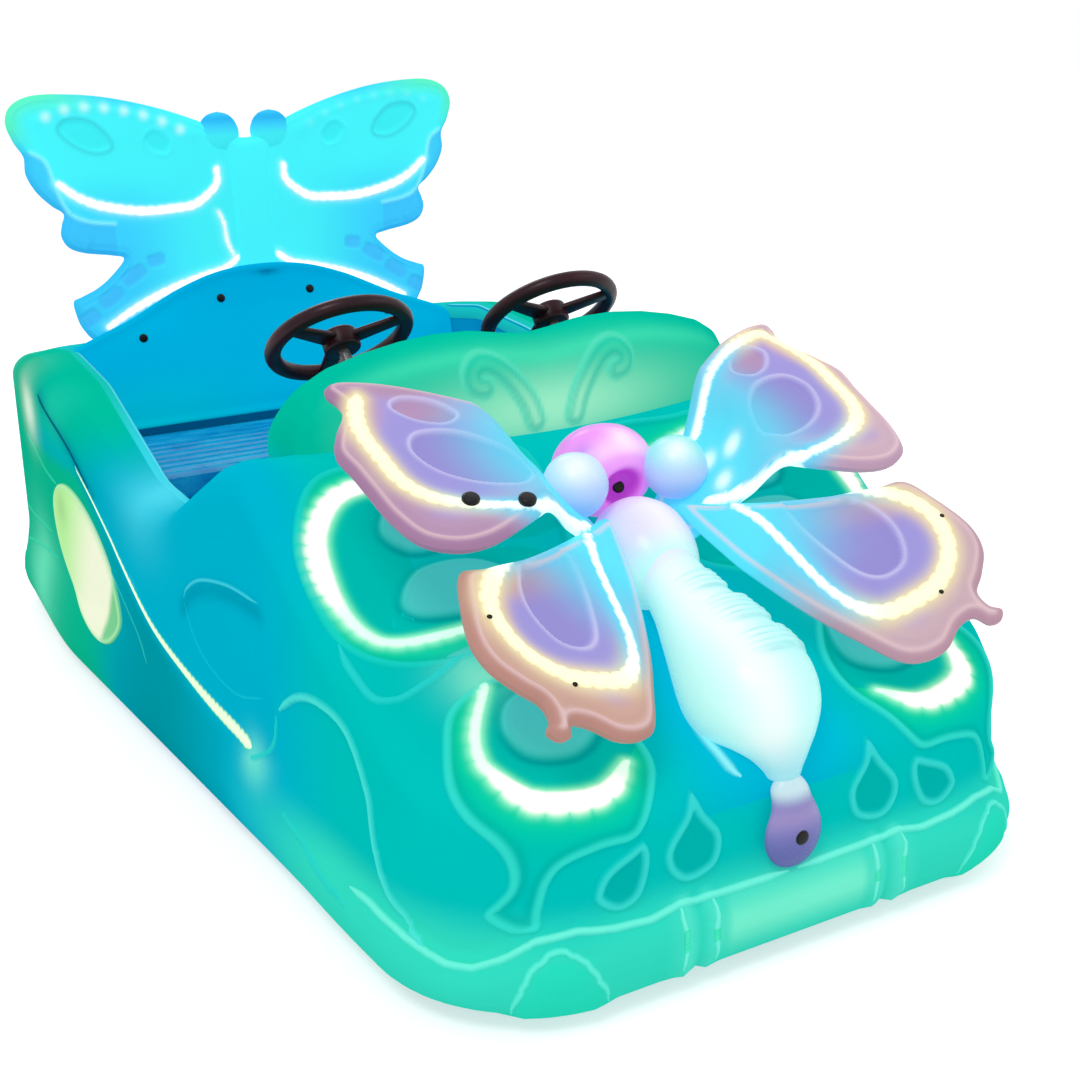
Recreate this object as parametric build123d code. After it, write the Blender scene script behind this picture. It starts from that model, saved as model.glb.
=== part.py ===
# Two-seat battery bumper car with a butterfly theme.
#
# A rotomoulded body with a fat rim around its skirt stands on a steel frame. Two people sit
# side by side in a moulded tub, each behind a steering wheel. One driven wheel steers on a fork
# under the bonnet, and two free wheels run inside the arm rests at the rear. A butterfly with raised
# wings lies on the bonnet, and a flat one stands behind the backrest.
#
# Millimetres. The front faces -Y, the right side is -X, +Z is up, and the origin is on the floor
# under the middle of the car.
from build123d import *
import os

os.makedirs("parts", exist_ok=True)

# Whole body
front_y = -1022.0
rear_y = 1024.0
skirt_z = 30.0
tub_half = 440.0
arm_width = 140.0
tail_width = 122.0
nose_width = 15.0
middle_half = tub_half + arm_width
tail_half = tub_half + tail_width
nose_half = tub_half + nose_width
middle_y = 500.0
nose_radius = 215.0
tail_radius = 160.0
flank_radius = 1500.0
body_wall = 8.0

# How far the body is drawn in above the rim, at two heights
low_level = 120.0
low_draw = 12.0
high_level = 640.0
high_draw = 26.0
nose_draw = 50.0

# Rim around the skirt
rim_out = 16.0
rim_top = 126.0
rim_belly = 82.0
rim_lip = 4.0

# Bonnet and arm rest line, seen from the side. What lies before the seat is measured back
# from the front edge, and what lies behind it is measured from the tub's rear wall.
bonnet_nose_z = 224.0
bonnet_brow_y = front_y + 122.0
bonnet_brow_z = 300.0
bonnet_mid_y = front_y + 352.0
bonnet_mid_z = 402.0
cowl_foot_y = front_y + 592.0
cowl_foot_z = 578.0
tub_front_z = 560.0
entry_y = front_y + 1022.0
entry_half = 90.0
entry_z = 432.0
arm_y = rear_y - 574.0
arm_z = 536.0
arm_rear_y = arm_y + 250.0
arm_rear_z = 556.0
deck_rear_z = 505.0

# Tub
tub_front_y = front_y + 692.0
tub_rear_y = rear_y - 112.0
tub_wall = 8.0
tub_corner = 60.0
floor_z = 96.0

# Steel frame
rail_half = 250.0
rail_size = 40.0
rail_front_y = front_y + 142.0
rail_rear_y = rear_y - 124.0
bar_front_y = front_y + 162.0
bar_rear_y = rear_y - 144.0
pan_thick = 4.0
tow_bore = 22.0
tow_thick = 10.0
tow_half = 30.0
tow_reach = 62.0
tow_z = 72.0

# Seat and backrest
seat_front_y = tub_rear_y - 460.0
seat_rear_y = tub_rear_y - 112.0
seat_toe = 16.0
seat_wall = 12.0
seat_top_z = 352.0
cushion_thick = 56.0
seat_gap = 2.0
back_low_z = 356.0
back_top_z = 674.0
back_shoulder_z = 540.0
back_arch_z = 634.0
back_thick = 18.0
back_lean = 8.0
battery_width = 340.0
battery_depth = 175.0
battery_height = 170.0

# Cowl
cowl_half = 365.0
cowl_top_z = 714.0
cowl_dip_z = 699.0
cowl_wall = 8.0
dash_y = tub_front_y + 185.0
dash_z = 599.0

# Steering
wheel_x = 190.0
wheel_y = dash_y + 55.0
wheel_z = 670.0
wheel_tilt = 38.0
wheel_radius = 122.0
grip_radius = 13.0
column_radius = 22.0
shaft_radius = 10.0
shaft_length = 340.0
run_gap = 0.08
seat_clear = 0.3

# Front drive wheel
drive_y = front_y + 382.0
drive_radius = 120.0
drive_width = 66.0
drive_rim = 72.0
fork_half = 50.0
fork_thick = 12.0
kingpin_radius = 20.0
bearing_radius = 58.0
bearing_high = 28.0
bridge_z = 300.0
bridge_half = 200.0
bridge_reach = 70.0
bridge_thick = 10.0
post_size = 30.0
post_x = 185.0
post_y = 55.0

# Rear wheels
rear_wheel_y = rear_y - 384.0
rear_radius = 100.0
rear_width = 58.0
rear_rim = 62.0
axle_radius = 10.0
bracket_gap = 2.0
bracket_thick = 8.0
wheel_gap = 12.0

# Front butterfly
body_slope = 29.0
head_y = front_y + 437.0
head_z = 520.0
eye_radius = 45.0
eye_x = 80.0
eye_y = front_y + 380.0
eye_z = 540.0
thorax_y = front_y + 354.0
thorax_z = 452.0
abdomen_y = front_y + 160.0
abdomen_z = 362.0
tail_z = 172.0
tail_size = 38.0
neck_low = 23.0
neck_high = 36.0
wing_thick = 26.0
wing_lift = 158.4
wing_rise = 0.414
wing_fold = 190.0
wing_drop = 1.0
lower_lift = 50.5
lower_rise = 0.625
lower_spread = 0.37

# Side lamps
lamp_y = arm_y - 135.0
lamp_z = 250.0
lamp_long = 190.0
lamp_high = 105.0
lamp_turn = 25.0
lamp_proud = 6.0

# Rear butterfly
panel_thick = 34.0
panel_y = tub_rear_y - panel_thick
ball_radius = 44.0
ball_flat = 0.55
ball_x = 57.0
ball_z = 950.0


def save(name, shape):
    """Write one named piece."""
    export_step(shape, f"parts/{name}.step")


def block(x_low, x_high, y_low, y_high, z_low, z_high):
    """A box between two corners."""
    middle = Pos((x_low + x_high) / 2, (y_low + y_high) / 2, (z_low + z_high) / 2)
    return middle * Box(x_high - x_low, y_high - y_low, z_high - z_low)


def rounded(plane, corners):
    """A face on a plane from rows of across, up, corner radius."""
    points = [(across, up) for across, up, radius in corners]
    radii = [radius for across, up, radius in corners]
    return plane * make_face(FilletPolyline(*points, radius=radii, close=True))


def both_sides(rows):
    """Rows of the +X half in order, then their mirror images back to the start."""
    return rows + [(-across, up, radius) for across, up, radius in reversed(rows)]


def plan(level, draw, nose):
    """The body's outline seen from above at one height, drawn in at the sides and the nose."""
    return rounded(Plane.XY.offset(level), both_sides([
        (nose_half - draw, front_y + nose, nose_radius - draw),
        (middle_half - draw, middle_y, flank_radius),
        (tail_half - draw, rear_y - draw, tail_radius - draw),
    ]))


def moulding(inset):
    """The outer form of the body above the floor, drawn in on every side by inset."""
    low = plan(skirt_z - inset, low_draw + inset, low_draw + inset)
    high = plan(high_level, high_draw + inset, nose_draw + inset)
    sides = loft([low, high], ruled=True)
    top = rounded(Plane.YZ, [
        (front_y - 100, skirt_z - 60, 0),
        (front_y - 100, bonnet_nose_z - inset, 0),
        (bonnet_brow_y, bonnet_brow_z - inset, 300),
        (bonnet_mid_y, bonnet_mid_z - inset, 300),
        (cowl_foot_y, cowl_foot_z - inset, 60),
        (tub_front_y, tub_front_z - inset, 60),
        (entry_y - entry_half, entry_z - inset, 110),
        (entry_y + entry_half, entry_z - inset, 200),
        (arm_y, arm_z - inset, 300),
        (arm_rear_y, arm_rear_z - inset, 200),
        (rear_y + 100, deck_rear_z - inset, 0),
        (rear_y + 100, skirt_z - 60, 0),
    ])
    return sides & extrude(top, 700, both=True)


def tub_space(inset):
    """The room inside the tub walls, drawn in by inset."""
    corner = tub_corner - inset
    half = tub_half + tub_wall - inset
    front = tub_front_y - tub_wall + inset
    rear = tub_rear_y + tub_wall - inset
    floor = rounded(Plane.XY.offset(floor_z + inset), both_sides([
        (half, front, corner),
        (half, rear, corner),
    ]))
    return extrude(floor, high_level)


def frame_tube(x_low, x_high, y_low, y_high):
    """One bar of the steel frame."""
    top = floor_z - pan_thick
    return block(x_low, x_high, y_low, y_high, top - rail_size, top)


# Body moulding

outer = moulding(0)
inner = moulding(body_wall)
tub_outer = tub_space(0)
tub_inner = tub_space(tub_wall)

body_shell = outer - inner - tub_outer
save("body_shell", body_shell)

cockpit_tub = (tub_outer & outer) - tub_inner
save("cockpit_tub", cockpit_tub)

# Rim around the skirt

rim_low = plan(skirt_z, 0, 0)
rim_wide = plan(rim_belly, -rim_out, -rim_out)
rim_high = plan(rim_top, low_draw - rim_lip, low_draw - rim_lip)
rim_solid = loft([rim_low, rim_wide], ruled=True) + loft([rim_wide, rim_high], ruled=True)
bumper_rim = rim_solid - outer
save("bumper_rim", bumper_rim)

# Steel frame and floor pan

bracket_x = tub_half + tub_wall + bracket_gap
cross_bars = [
    # y, half length
    (bar_front_y, middle_half),
    (tub_front_y - rail_size / 2, middle_half),
    ((tub_front_y + seat_front_y) / 2, middle_half),
    (rear_wheel_y, bracket_x),
    (bar_rear_y, middle_half),
]
frame = frame_tube(-rail_half - rail_size, -rail_half, rail_front_y, rail_rear_y)
frame += frame_tube(rail_half, rail_half + rail_size, rail_front_y, rail_rear_y)
for bar_y, bar_half in cross_bars:
    frame += frame_tube(-bar_half, bar_half, bar_y - rail_size / 2, bar_y + rail_size / 2)
frame &= inner
for bar_y, tow_y in ((bar_front_y, rail_front_y - tow_reach), (bar_rear_y, rail_rear_y + tow_reach)):
    low_y = min(bar_y, tow_y)
    high_y = max(bar_y, tow_y)
    frame += block(-tow_half, tow_half, low_y, high_y, tow_z - tow_thick / 2, tow_z + tow_thick / 2)
    frame += Pos(0, tow_y, tow_z) * Cylinder(tow_half, tow_thick)
    frame -= Pos(0, tow_y, tow_z) * Cylinder(tow_bore / 2, tow_thick * 3)
save("chassis_frame", frame)

floor_pan = block(-tub_half, tub_half, tub_front_y, tub_rear_y, floor_z - pan_thick, floor_z)
save("floor_pan", floor_pan)

# Seat

seat_half = tub_half - seat_gap
seat_floor = floor_z + tub_wall
seat_under = seat_top_z - cushion_thick
seat_box_y = seat_front_y + seat_toe
seat_box = block(-seat_half, seat_half, seat_box_y, seat_rear_y, seat_floor, seat_under)
seat_room = block(
    -seat_half + seat_wall, seat_half - seat_wall, seat_box_y + seat_wall, seat_rear_y + 1,
    seat_floor - 1, seat_under - seat_wall
)
save("seat_base", seat_box - seat_room)

cushion = block(-seat_half, seat_half, seat_front_y, seat_rear_y, seat_under + seat_clear, seat_top_z)
cushion = fillet(cushion.edges().filter_by(Axis.X).group_by(Axis.Z)[-1], 18)
save("seat_cushion", cushion)

battery_y = (seat_front_y + seat_rear_y) / 2 + 10
battery = block(
    -battery_width / 2, battery_width / 2, battery_y - battery_depth / 2, battery_y + battery_depth / 2,
    seat_floor, seat_floor + battery_height
)
save("battery_block", battery)

# Backrest, leaning back against the rear panel

back_rows = both_sides([
    (seat_half, back_low_z, 20),
    (seat_half, back_shoulder_z, 30),
    (seat_half * 0.45, back_arch_z, 250),
    (seat_half * 0.14, back_top_z, 60),
])
back_face = rounded(Plane.XZ, back_rows)
back_slab = extrude(back_face, -back_thick)
lean = Pos(0, panel_y - back_thick - seat_clear, back_top_z) * Rot(-back_lean, 0, 0) * Pos(0, 0, -back_top_z)
backrest = lean * back_slab
save("backrest", backrest)

# Cowl over the tub's front edge


def cowl_form(inset, down):
    """The cowl's form drawn in by inset, with its open foot lower by down."""
    side_view = rounded(Plane.YZ, [
        (cowl_foot_y - 16 + inset, cowl_foot_z - 60 - down, 0),
        (cowl_foot_y - 16 + inset, cowl_top_z - 60, 60),
        (cowl_foot_y + 34, cowl_top_z - inset, 30),
        (cowl_foot_y + 210 - inset, cowl_top_z - 60 - inset, 30),
        (dash_y + 34 - inset, dash_z - 26, 16),
        (dash_y + 4 - inset, dash_z - 60 - down, 0),
        (tub_front_y + 20, cowl_foot_z - 90 - down, 0),
    ])
    front_view = rounded(Plane.XZ, both_sides([
        (cowl_half - 20 - inset, cowl_foot_z - 100 - down, 0),
        (cowl_half - inset, cowl_foot_z + 44, 40),
        (cowl_half - 90 - inset, cowl_top_z - 18 - inset, 120),
        (cowl_half * 0.42, cowl_top_z + 4 - inset, 140),
        (20, cowl_dip_z - inset, 160),
    ]))
    plan_view = rounded(Plane.XY.offset(cowl_foot_z - 140 - down), both_sides([
        (170, cowl_foot_y - 18 + inset, 160),
        (cowl_half + 20 - inset, tub_front_y + 30 + inset, 60),
        (cowl_half - 60 - inset, dash_y + 60 - inset, 40),
    ]))
    form = extrude(side_view, 500, both=True) & extrude(front_view, 700, both=True)
    return form & extrude(plan_view, 400)


column = [
    Pos(side * wheel_x, wheel_y, wheel_z) * Rot(-wheel_tilt, 0, 0) for side in (-1, 1)
]
column_start = 74.0
column_end = 440.0
column_middle = -(column_start + column_end) / 2
cowl = cowl_form(0, 0) - cowl_form(cowl_wall, 20) - (outer - tub_inner)
for place in column:
    cowl -= place * Pos(0, 0, column_middle) * Cylinder(column_radius, column_end - column_start)
save("cowl", cowl)

# Steering wheels, shafts and columns

for side, place in zip(("right", "left"), column):
    rim = Torus(wheel_radius - grip_radius, grip_radius)
    hub = Pos(0, 0, -6) * Cylinder(30, 34)
    wheel = rim + hub
    for turn in (0, 120, 240):
        spoke = Rot(0, 0, turn + 90) * Pos((wheel_radius - grip_radius) / 2 + 8, 0, -4)
        wheel += spoke * Box(wheel_radius - grip_radius - 16, 30, 8)
    save("steering_wheel_" + side, place * wheel)
    shaft = Pos(0, 0, -23 - shaft_length / 2) * Cylinder(shaft_radius, shaft_length)
    save("steering_shaft_" + side, place * shaft)
    tube = Pos(0, 0, column_middle) * Cylinder(column_radius, column_end - column_start)
    tube -= Pos(0, 0, column_middle) * Cylinder(shaft_radius + run_gap, column_end)
    save("column_tube_" + side, place * tube & tub_inner)

# Drive unit under the bonnet

rail_top = floor_z - pan_thick
bridge_front = drive_y - bridge_reach
bridge_rear = drive_y + bridge_reach
bridge = block(-bridge_half, bridge_half, bridge_front, bridge_rear, bridge_z, bridge_z + bridge_thick)
for side in (-1, 1):
    for along in (-1, 1):
        post = Pos(side * post_x, drive_y + along * post_y, (rail_top - rail_size + bridge_z) / 2)
        bridge += post * Box(post_size, post_size, bridge_z - rail_top + rail_size)
    foot_x = side * (bridge_half + rail_half) / 2
    foot = Pos(foot_x, drive_y, rail_top - rail_size / 2)
    bridge += foot * Box(rail_half - bridge_half, 2 * bridge_reach, rail_size)
bridge -= Pos(0, drive_y, bridge_z) * Cylinder(kingpin_radius + 12, 60)
bearing_ring = Pos(0, drive_y, bridge_z - bearing_high / 2) * (
    Cylinder(bearing_radius, bearing_high) - Cylinder(kingpin_radius + run_gap, bearing_high + 2)
)
save("drive_bridge", bridge)
save("slewing_bearing", bearing_ring)

crown_z = bridge_z - bearing_high - 6
crown = block(-fork_half - fork_thick, fork_half + fork_thick, drive_y - 45, drive_y + 45, crown_z - 14, crown_z)
fork = crown
for side in (-1, 1):
    leg_x = side * (fork_half + fork_thick / 2)
    leg = rounded(Plane.YZ.offset(leg_x), [
        (drive_y - 40, crown_z - 6, 0),
        (drive_y - 26, drive_radius - 26, 20),
        (drive_y + 26, drive_radius - 26, 20),
        (drive_y + 40, crown_z - 6, 0),
    ])
    fork += extrude(leg, fork_thick / 2, both=True)
fork += Pos(0, drive_y, crown_z + 25) * Cylinder(kingpin_radius, 50)
fork += Pos(0, drive_y, bridge_z + bridge_thick + seat_clear + 4) * Cylinder(bearing_radius + 2, 8)
fork -= Pos(0, drive_y, drive_radius) * Rot(0, 90, 0) * Cylinder(axle_radius + run_gap, 200)
save("steering_fork", fork)


def tyre(radius, width, rim_radius):
    """A plain tyre lying on its side, with rounded shoulders."""
    return revolve(rounded(Plane.XZ, [
        (rim_radius, -width / 2, 4),
        (radius - 8, -width / 2, 14),
        (radius, -width / 2 + 18, 14),
        (radius, width / 2 - 18, 14),
        (radius - 8, width / 2, 14),
        (rim_radius, width / 2, 4),
    ]), Axis.Z)


def wheel_hub(rim_radius, width, bore):
    """A wheel centre lying on its side, with dished faces."""
    return revolve(rounded(Plane.XZ, [
        (bore, -width / 2, 0),
        (bore + 16, -width / 2, 2),
        (bore + 22, -width / 2 + 10, 2),
        (rim_radius - 10, -width / 2 + 10, 2),
        (rim_radius - 6, -width / 2 + 2, 0),
        (rim_radius, -width / 2 + 2, 0),
        (rim_radius, width / 2 - 2, 0),
        (rim_radius - 6, width / 2 - 2, 0),
        (rim_radius - 10, width / 2 - 10, 2),
        (bore + 22, width / 2 - 10, 2),
        (bore + 16, width / 2, 2),
        (bore, width / 2, 0),
    ]), Axis.Z)


front_place = Pos(0, drive_y, drive_radius) * Rot(0, 90, 0)
save("front_tyre", front_place * tyre(drive_radius, drive_width, drive_rim))
front_hub = wheel_hub(drive_rim, drive_width + 10, axle_radius) + Cylinder(axle_radius, 2 * fork_half + 2 * fork_thick)
save("front_hub_motor", front_place * front_hub)

# Rear wheels on stub axles

plate_x = bracket_x + bracket_thick / 2
rear_wheel_x = bracket_x + bracket_thick + wheel_gap + rear_width / 2
for name, side in (("right", -1), ("left", 1)):
    plate = rounded(Plane.YZ.offset(side * plate_x), [
        (rear_wheel_y - 45, rail_top - rail_size, 0),
        (rear_wheel_y - 30, rear_radius + 30, 20),
        (rear_wheel_y + 30, rear_radius + 30, 20),
        (rear_wheel_y + 45, rail_top - rail_size, 0),
    ])
    bracket = extrude(plate, bracket_thick / 2, both=True)
    stub_length = rear_wheel_x - bracket_x + rear_width / 2 + 6
    bracket += Pos(side * (bracket_x + stub_length / 2), rear_wheel_y, rear_radius) * Rot(0, 90, 0) * Cylinder(
        axle_radius, stub_length
    )
    save("rear_axle_" + name, bracket)
    rear_place = Pos(side * rear_wheel_x, rear_wheel_y, rear_radius) * Rot(0, 90, 0)
    save("rear_tyre_" + name, rear_place * tyre(rear_radius, rear_width, rear_rim))
    save("rear_hub_" + name, rear_place * wheel_hub(rear_rim, rear_width + 4, axle_radius + run_gap))

# Pedal

pedal_y = tub_front_y + 75
pedal_foot = floor_z + tub_wall
pedal = Pos(-wheel_x, pedal_y, pedal_foot + 60) * Rot(25, 0, 0) * Box(80, 8, 120)
pedal += block(-wheel_x - 10, -wheel_x + 10, pedal_y - 7, pedal_y + 15, pedal_foot, pedal_foot + 50)
save("pedal", pedal)

# Side lamps, let into the flanks

lamp_skin = moulding(-lamp_proud) - outer
lamp_face = Plane.YZ * Pos(lamp_y, lamp_z) * Rot(0, 0, lamp_turn) * Ellipse(lamp_long, lamp_high)
for name, side in (("right", -1), ("left", 1)):
    lamp = (extrude(lamp_face, side * 700) & lamp_skin) - rim_solid
    save("side_lamp_" + name, lamp)

# Front butterfly, lying on the bonnet


def slab(across, along, height, thick):
    """A plate under the plane z = across x + along y + height."""
    return Plane(origin=(0, 0, height), z_dir=(-across, -along, 1)) * Pos(0, 0, -thick / 2) * Box(3000, 3000, thick)


thorax = Pos(0, thorax_y, thorax_z) * Rot(body_slope, 0, 0) * Rot(90, 0, 0) * revolve(rounded(Plane.XZ, [
    (0, -105, 0),
    (36, -105, 24),
    (68, -50, 50),
    (68, 40, 50),
    (40, 95, 24),
    (0, 95, 0),
]), Axis.Z)
abdomen = Pos(0, abdomen_y, abdomen_z) * Rot(body_slope, 0, 0) * Rot(90, 0, 0) * revolve(rounded(Plane.XZ, [
    (0, -170, 0),
    (28, -170, 0),
    (34, -80, 80),
    (74, 0, 80),
    (82, 70, 70),
    (52, 128, 30),
    (22, 150, 0),
    (0, 150, 0),
]), Axis.Z)
head = Pos(0, head_y, head_z) * Rot(body_slope, 0, 0) * Rot(90, 0, 0) * revolve(rounded(Plane.XZ, [
    (0, -78, 0),
    (50, -78, 40),
    (64, 0, 60),
    (46, 66, 36),
    (0, 66, 0),
]), Axis.Z)
bonnet = outer + cowl
head -= bonnet
thorax = thorax - bonnet - head
abdomen = abdomen - bonnet - thorax
save("butterfly_head", head)
save("butterfly_thorax", thorax)
save("butterfly_abdomen", abdomen)

tail = Pos(0, front_y + 2, tail_z) * Rot(90, 0, 0) * Cylinder(tail_size, 24)
tail = fillet(tail.edges().group_by(Axis.Y)[0], 9)
neck = loft([
    Plane(origin=(0, front_y + 8, tail_z + 28), z_dir=(0, 0, 1)) * Circle(neck_low),
    Plane(origin=(0, front_y + 38, tail_z + 108), z_dir=(0, 0.5, 1)) * Circle(neck_high),
])
tail = tail + neck - outer - abdomen
save("butterfly_tail", tail)

ball = Pos(eye_x, eye_y, eye_z) * Sphere(eye_radius)
eye = ball - head - thorax - bonnet
save("butterfly_eye_left", eye)
save("butterfly_eye_right", mirror(eye, about=Plane.YZ))

# Raised wings: x, how far behind the front edge, corner radius, seen from above
upper_wing = [
    (52, 322, 8), (52, 404, 8), (114, 422, 40), (185, 476, 60), (270, 532, 40), (330, 550, 20),
    (362, 534, 14), (356, 492, 16), (404, 426, 24), (392, 362, 40), (388, 302, 30), (368, 232, 30),
    (325, 210, 20), (285, 210, 20), (180, 252, 40),
]
lower_wing = [
    (50, 332, 8), (150, 280, 30), (290, 210, 20), (336, 190, 20), (358, 137, 20), (370, 92, 30),
    (350, 54, 24), (314, 28, 10), (330, -14, 10), (304, -14, 10), (277, 14, 12), (219, -2, 24),
    (176, 22, 24), (120, 117, 60), (84, 222, 40), (50, 272, 8),
]
body_parts = bonnet + head + thorax + abdomen
wing_level = thorax_z + wing_lift - wing_rise * thorax_y
lower_level = thorax_z + lower_lift - lower_rise * thorax_y
sky = 1200
for name, mirrored in (("left", False), ("right", True)):
    sheet = Pos(0, front_y, 0) * extrude(rounded(Plane.XY, upper_wing), sky)
    flat = sheet & slab(0, wing_rise, wing_level, wing_thick) & block(wing_fold, sky, -2 * sky, 0, 0, sky)
    root = sheet & slab(wing_drop, wing_rise, wing_level - wing_drop * wing_fold, wing_thick)
    upper = flat + (root & block(0, wing_fold, -2 * sky, 0, 0, sky)) - body_parts
    lower = Pos(0, front_y, 0) * extrude(rounded(Plane.XY, lower_wing), sky)
    lower &= slab(lower_spread, lower_rise, lower_level, wing_thick)
    lower = lower - body_parts - upper
    upper -= ball
    if mirrored:
        upper = mirror(upper, about=Plane.YZ)
        lower = mirror(lower, about=Plane.YZ)
    save("upper_wing_" + name, upper)
    save("lower_wing_" + name, lower)

# Rear butterfly, standing behind the backrest: x, z, corner radius, seen from the front
rear_wing = [
    (40, 930, 6), (95, 976, 20), (190, 1014, 60), (310, 1042, 80), (432, 1046, 36), (492, 996, 30),
    (464, 930, 30), (440, 853, 60), (386, 796, 18), (405, 766, 12), (374, 726, 16), (262, 708, 16),
    (345, 648, 16), (400, 632, 10), (392, 575, 24), (365, 536, 16), (200, 470, 60), (40, 450, 6),
]
rear_body = rounded(Plane.XZ, both_sides([
    (40, 430, 6),
    (40, ball_z - 60, 10),
    (ball_x + 11, ball_z + 4, 8),
    (10, ball_z - 10, 6),
]))
rear_body = Pos(0, panel_y, 0) * extrude(rear_body, -panel_thick)
for side in (-1, 1):
    ball_place = Pos(side * ball_x, panel_y + panel_thick / 2, ball_z)
    rear_body += ball_place * scale(Sphere(ball_radius), by=(1, ball_flat, 1))
save("rear_butterfly_body", rear_body)
for name, mirrored in (("left", False), ("right", True)):
    wing = Pos(0, panel_y, 0) * extrude(rounded(Plane.XZ, rear_wing), -panel_thick)
    wing = wing - (outer - tub_inner) - rear_body
    if mirrored:
        wing = mirror(wing, about=Plane.YZ)
    save("rear_wing_" + name, wing)
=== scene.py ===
# A two-seat butterfly bumper car: its looks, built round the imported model.
#
# Metres, in the same frame as the CAD: the front faces -Y, the car's right side is -X.
# Points in tables are in millimetres. Shapes and paint are made for the +X half and mirrored.
import bpy
import numpy as np
from math import cos, sin, pi, radians, tau
from mathutils import Matrix, Vector, bvhtree, geometry, interpolate, kdtree


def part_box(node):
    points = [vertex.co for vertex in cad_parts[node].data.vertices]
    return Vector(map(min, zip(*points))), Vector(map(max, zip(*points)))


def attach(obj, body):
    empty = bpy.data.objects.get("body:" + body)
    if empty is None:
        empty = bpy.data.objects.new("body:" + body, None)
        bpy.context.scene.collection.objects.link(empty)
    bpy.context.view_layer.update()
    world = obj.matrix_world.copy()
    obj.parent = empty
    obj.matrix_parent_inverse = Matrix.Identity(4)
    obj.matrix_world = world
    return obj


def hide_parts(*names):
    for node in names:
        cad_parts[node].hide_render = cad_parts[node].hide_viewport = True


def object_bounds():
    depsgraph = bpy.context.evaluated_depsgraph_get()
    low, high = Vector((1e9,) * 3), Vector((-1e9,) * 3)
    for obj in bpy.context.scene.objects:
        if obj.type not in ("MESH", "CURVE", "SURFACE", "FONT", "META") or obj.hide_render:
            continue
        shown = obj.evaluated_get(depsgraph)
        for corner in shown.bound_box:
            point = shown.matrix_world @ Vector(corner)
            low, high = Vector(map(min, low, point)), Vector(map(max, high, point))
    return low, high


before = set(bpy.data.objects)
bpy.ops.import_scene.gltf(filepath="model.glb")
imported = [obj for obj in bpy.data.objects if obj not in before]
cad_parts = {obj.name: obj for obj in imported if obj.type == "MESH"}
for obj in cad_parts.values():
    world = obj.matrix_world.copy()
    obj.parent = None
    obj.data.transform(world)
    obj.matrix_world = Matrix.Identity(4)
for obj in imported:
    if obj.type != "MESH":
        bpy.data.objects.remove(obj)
cad_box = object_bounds()
box_low, box_high = (np.array(corner) for corner in cad_box)
bpy.ops.object.select_all(action="DESELECT")
scene = bpy.context.scene

# Colours


def colour(red, green, blue):
    """A colour as screens write it, 0 to 255, made linear for the shaders."""
    parts = np.array([red, green, blue]) / 255
    return np.where(parts <= 0.04045, parts / 12.92, ((parts + 0.055) / 1.055) ** 2.4)


teal = colour(0, 196, 190)
cyan_blue = colour(0, 182, 210)
leaf_green = colour(0, 190, 145)
aqua = colour(56, 226, 196)
mauve = colour(180, 156, 212)
lilac = colour(150, 150, 222)
root_cyan = colour(80, 226, 250)
pink = colour(228, 130, 236)
magenta = colour(190, 60, 205)
pearl = colour(226, 220, 248)
ice = colour(196, 255, 250)
bulb_purple = colour(120, 120, 190)
rear_cyan = colour(70, 240, 246)
rear_blue = colour(60, 200, 250)
rear_green = colour(90, 235, 190)

# Small shape helpers


def mm(*rows):
    return np.array(rows, float) / 1000


def ease(value, low, high):
    """0 below low, 1 above high, and a smooth rise between them."""
    part = np.clip((value - low) / (high - low), 0, 1)
    return part * part * (3 - 2 * part)


def curve(points, step=0.006, closed=False):
    """A smooth line through the points, with one about every step."""
    points = np.asarray(points, float)
    count = len(points)
    line = []
    for index in range(count if closed else count - 1):
        if closed:
            a, b, c, d = (points[(index + shift) % count] for shift in (-1, 0, 1, 2))
        else:
            b, c = points[index], points[index + 1]
            a = points[index - 1] if index else 2 * b - c
            d = points[index + 2] if index + 2 < count else 2 * c - b
        pieces = max(1, int(np.ceil(np.linalg.norm(c - b) / step)))
        for t in np.arange(pieces) / pieces:
            line.append(b + 0.5 * t * (c - a + t * (2 * a - 5 * b + 4 * c - d + t * (3 * (b - c) + d - a))))
    if not closed:
        line.append(points[-1])
    return np.array(line)


def distance(points, line, reach=0.12, closed=False):
    """How far each point is from a line, up to reach."""
    best = np.full(len(points), reach)
    near = ((points > line.min(0) - reach) & (points < line.max(0) + reach)).all(1)
    close = points[near]
    far = best[near]
    ends = np.roll(line, -1, 0) if closed else line[1:]
    for start, end in zip(line, ends):
        along = end - start
        t = np.clip((close - start) @ along / max(along @ along, 1e-12), 0, 1)
        far = np.minimum(far, np.linalg.norm(close - start - t[:, None] * along, axis=1))
    best[near] = far
    return best


def inside(points, outline):
    """Which points are inside a closed outline in their first two numbers."""
    within = np.zeros(len(points), bool)
    x, y = points[:, 0], points[:, 1]
    for a, b in zip(outline, np.roll(outline, -1, 0)):
        crosses = (a[1] > y) != (b[1] > y)
        if abs(b[1] - a[1]) > 1e-12:
            within ^= crosses & (x < (b[0] - a[0]) * (y - a[1]) / (b[1] - a[1]) + a[0])
    return within


def lengths_of(path):
    return np.concatenate([[0], np.cumsum(np.linalg.norm(np.diff(path, axis=0), axis=1))])


def spaced(line, pitch):
    """Points along a line at an even pitch."""
    lengths = lengths_of(line)
    stops = np.arange(pitch / 2, lengths[-1], pitch)
    return np.stack([np.interp(stops, lengths, line[:, axis]) for axis in range(line.shape[1])], 1)


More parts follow.
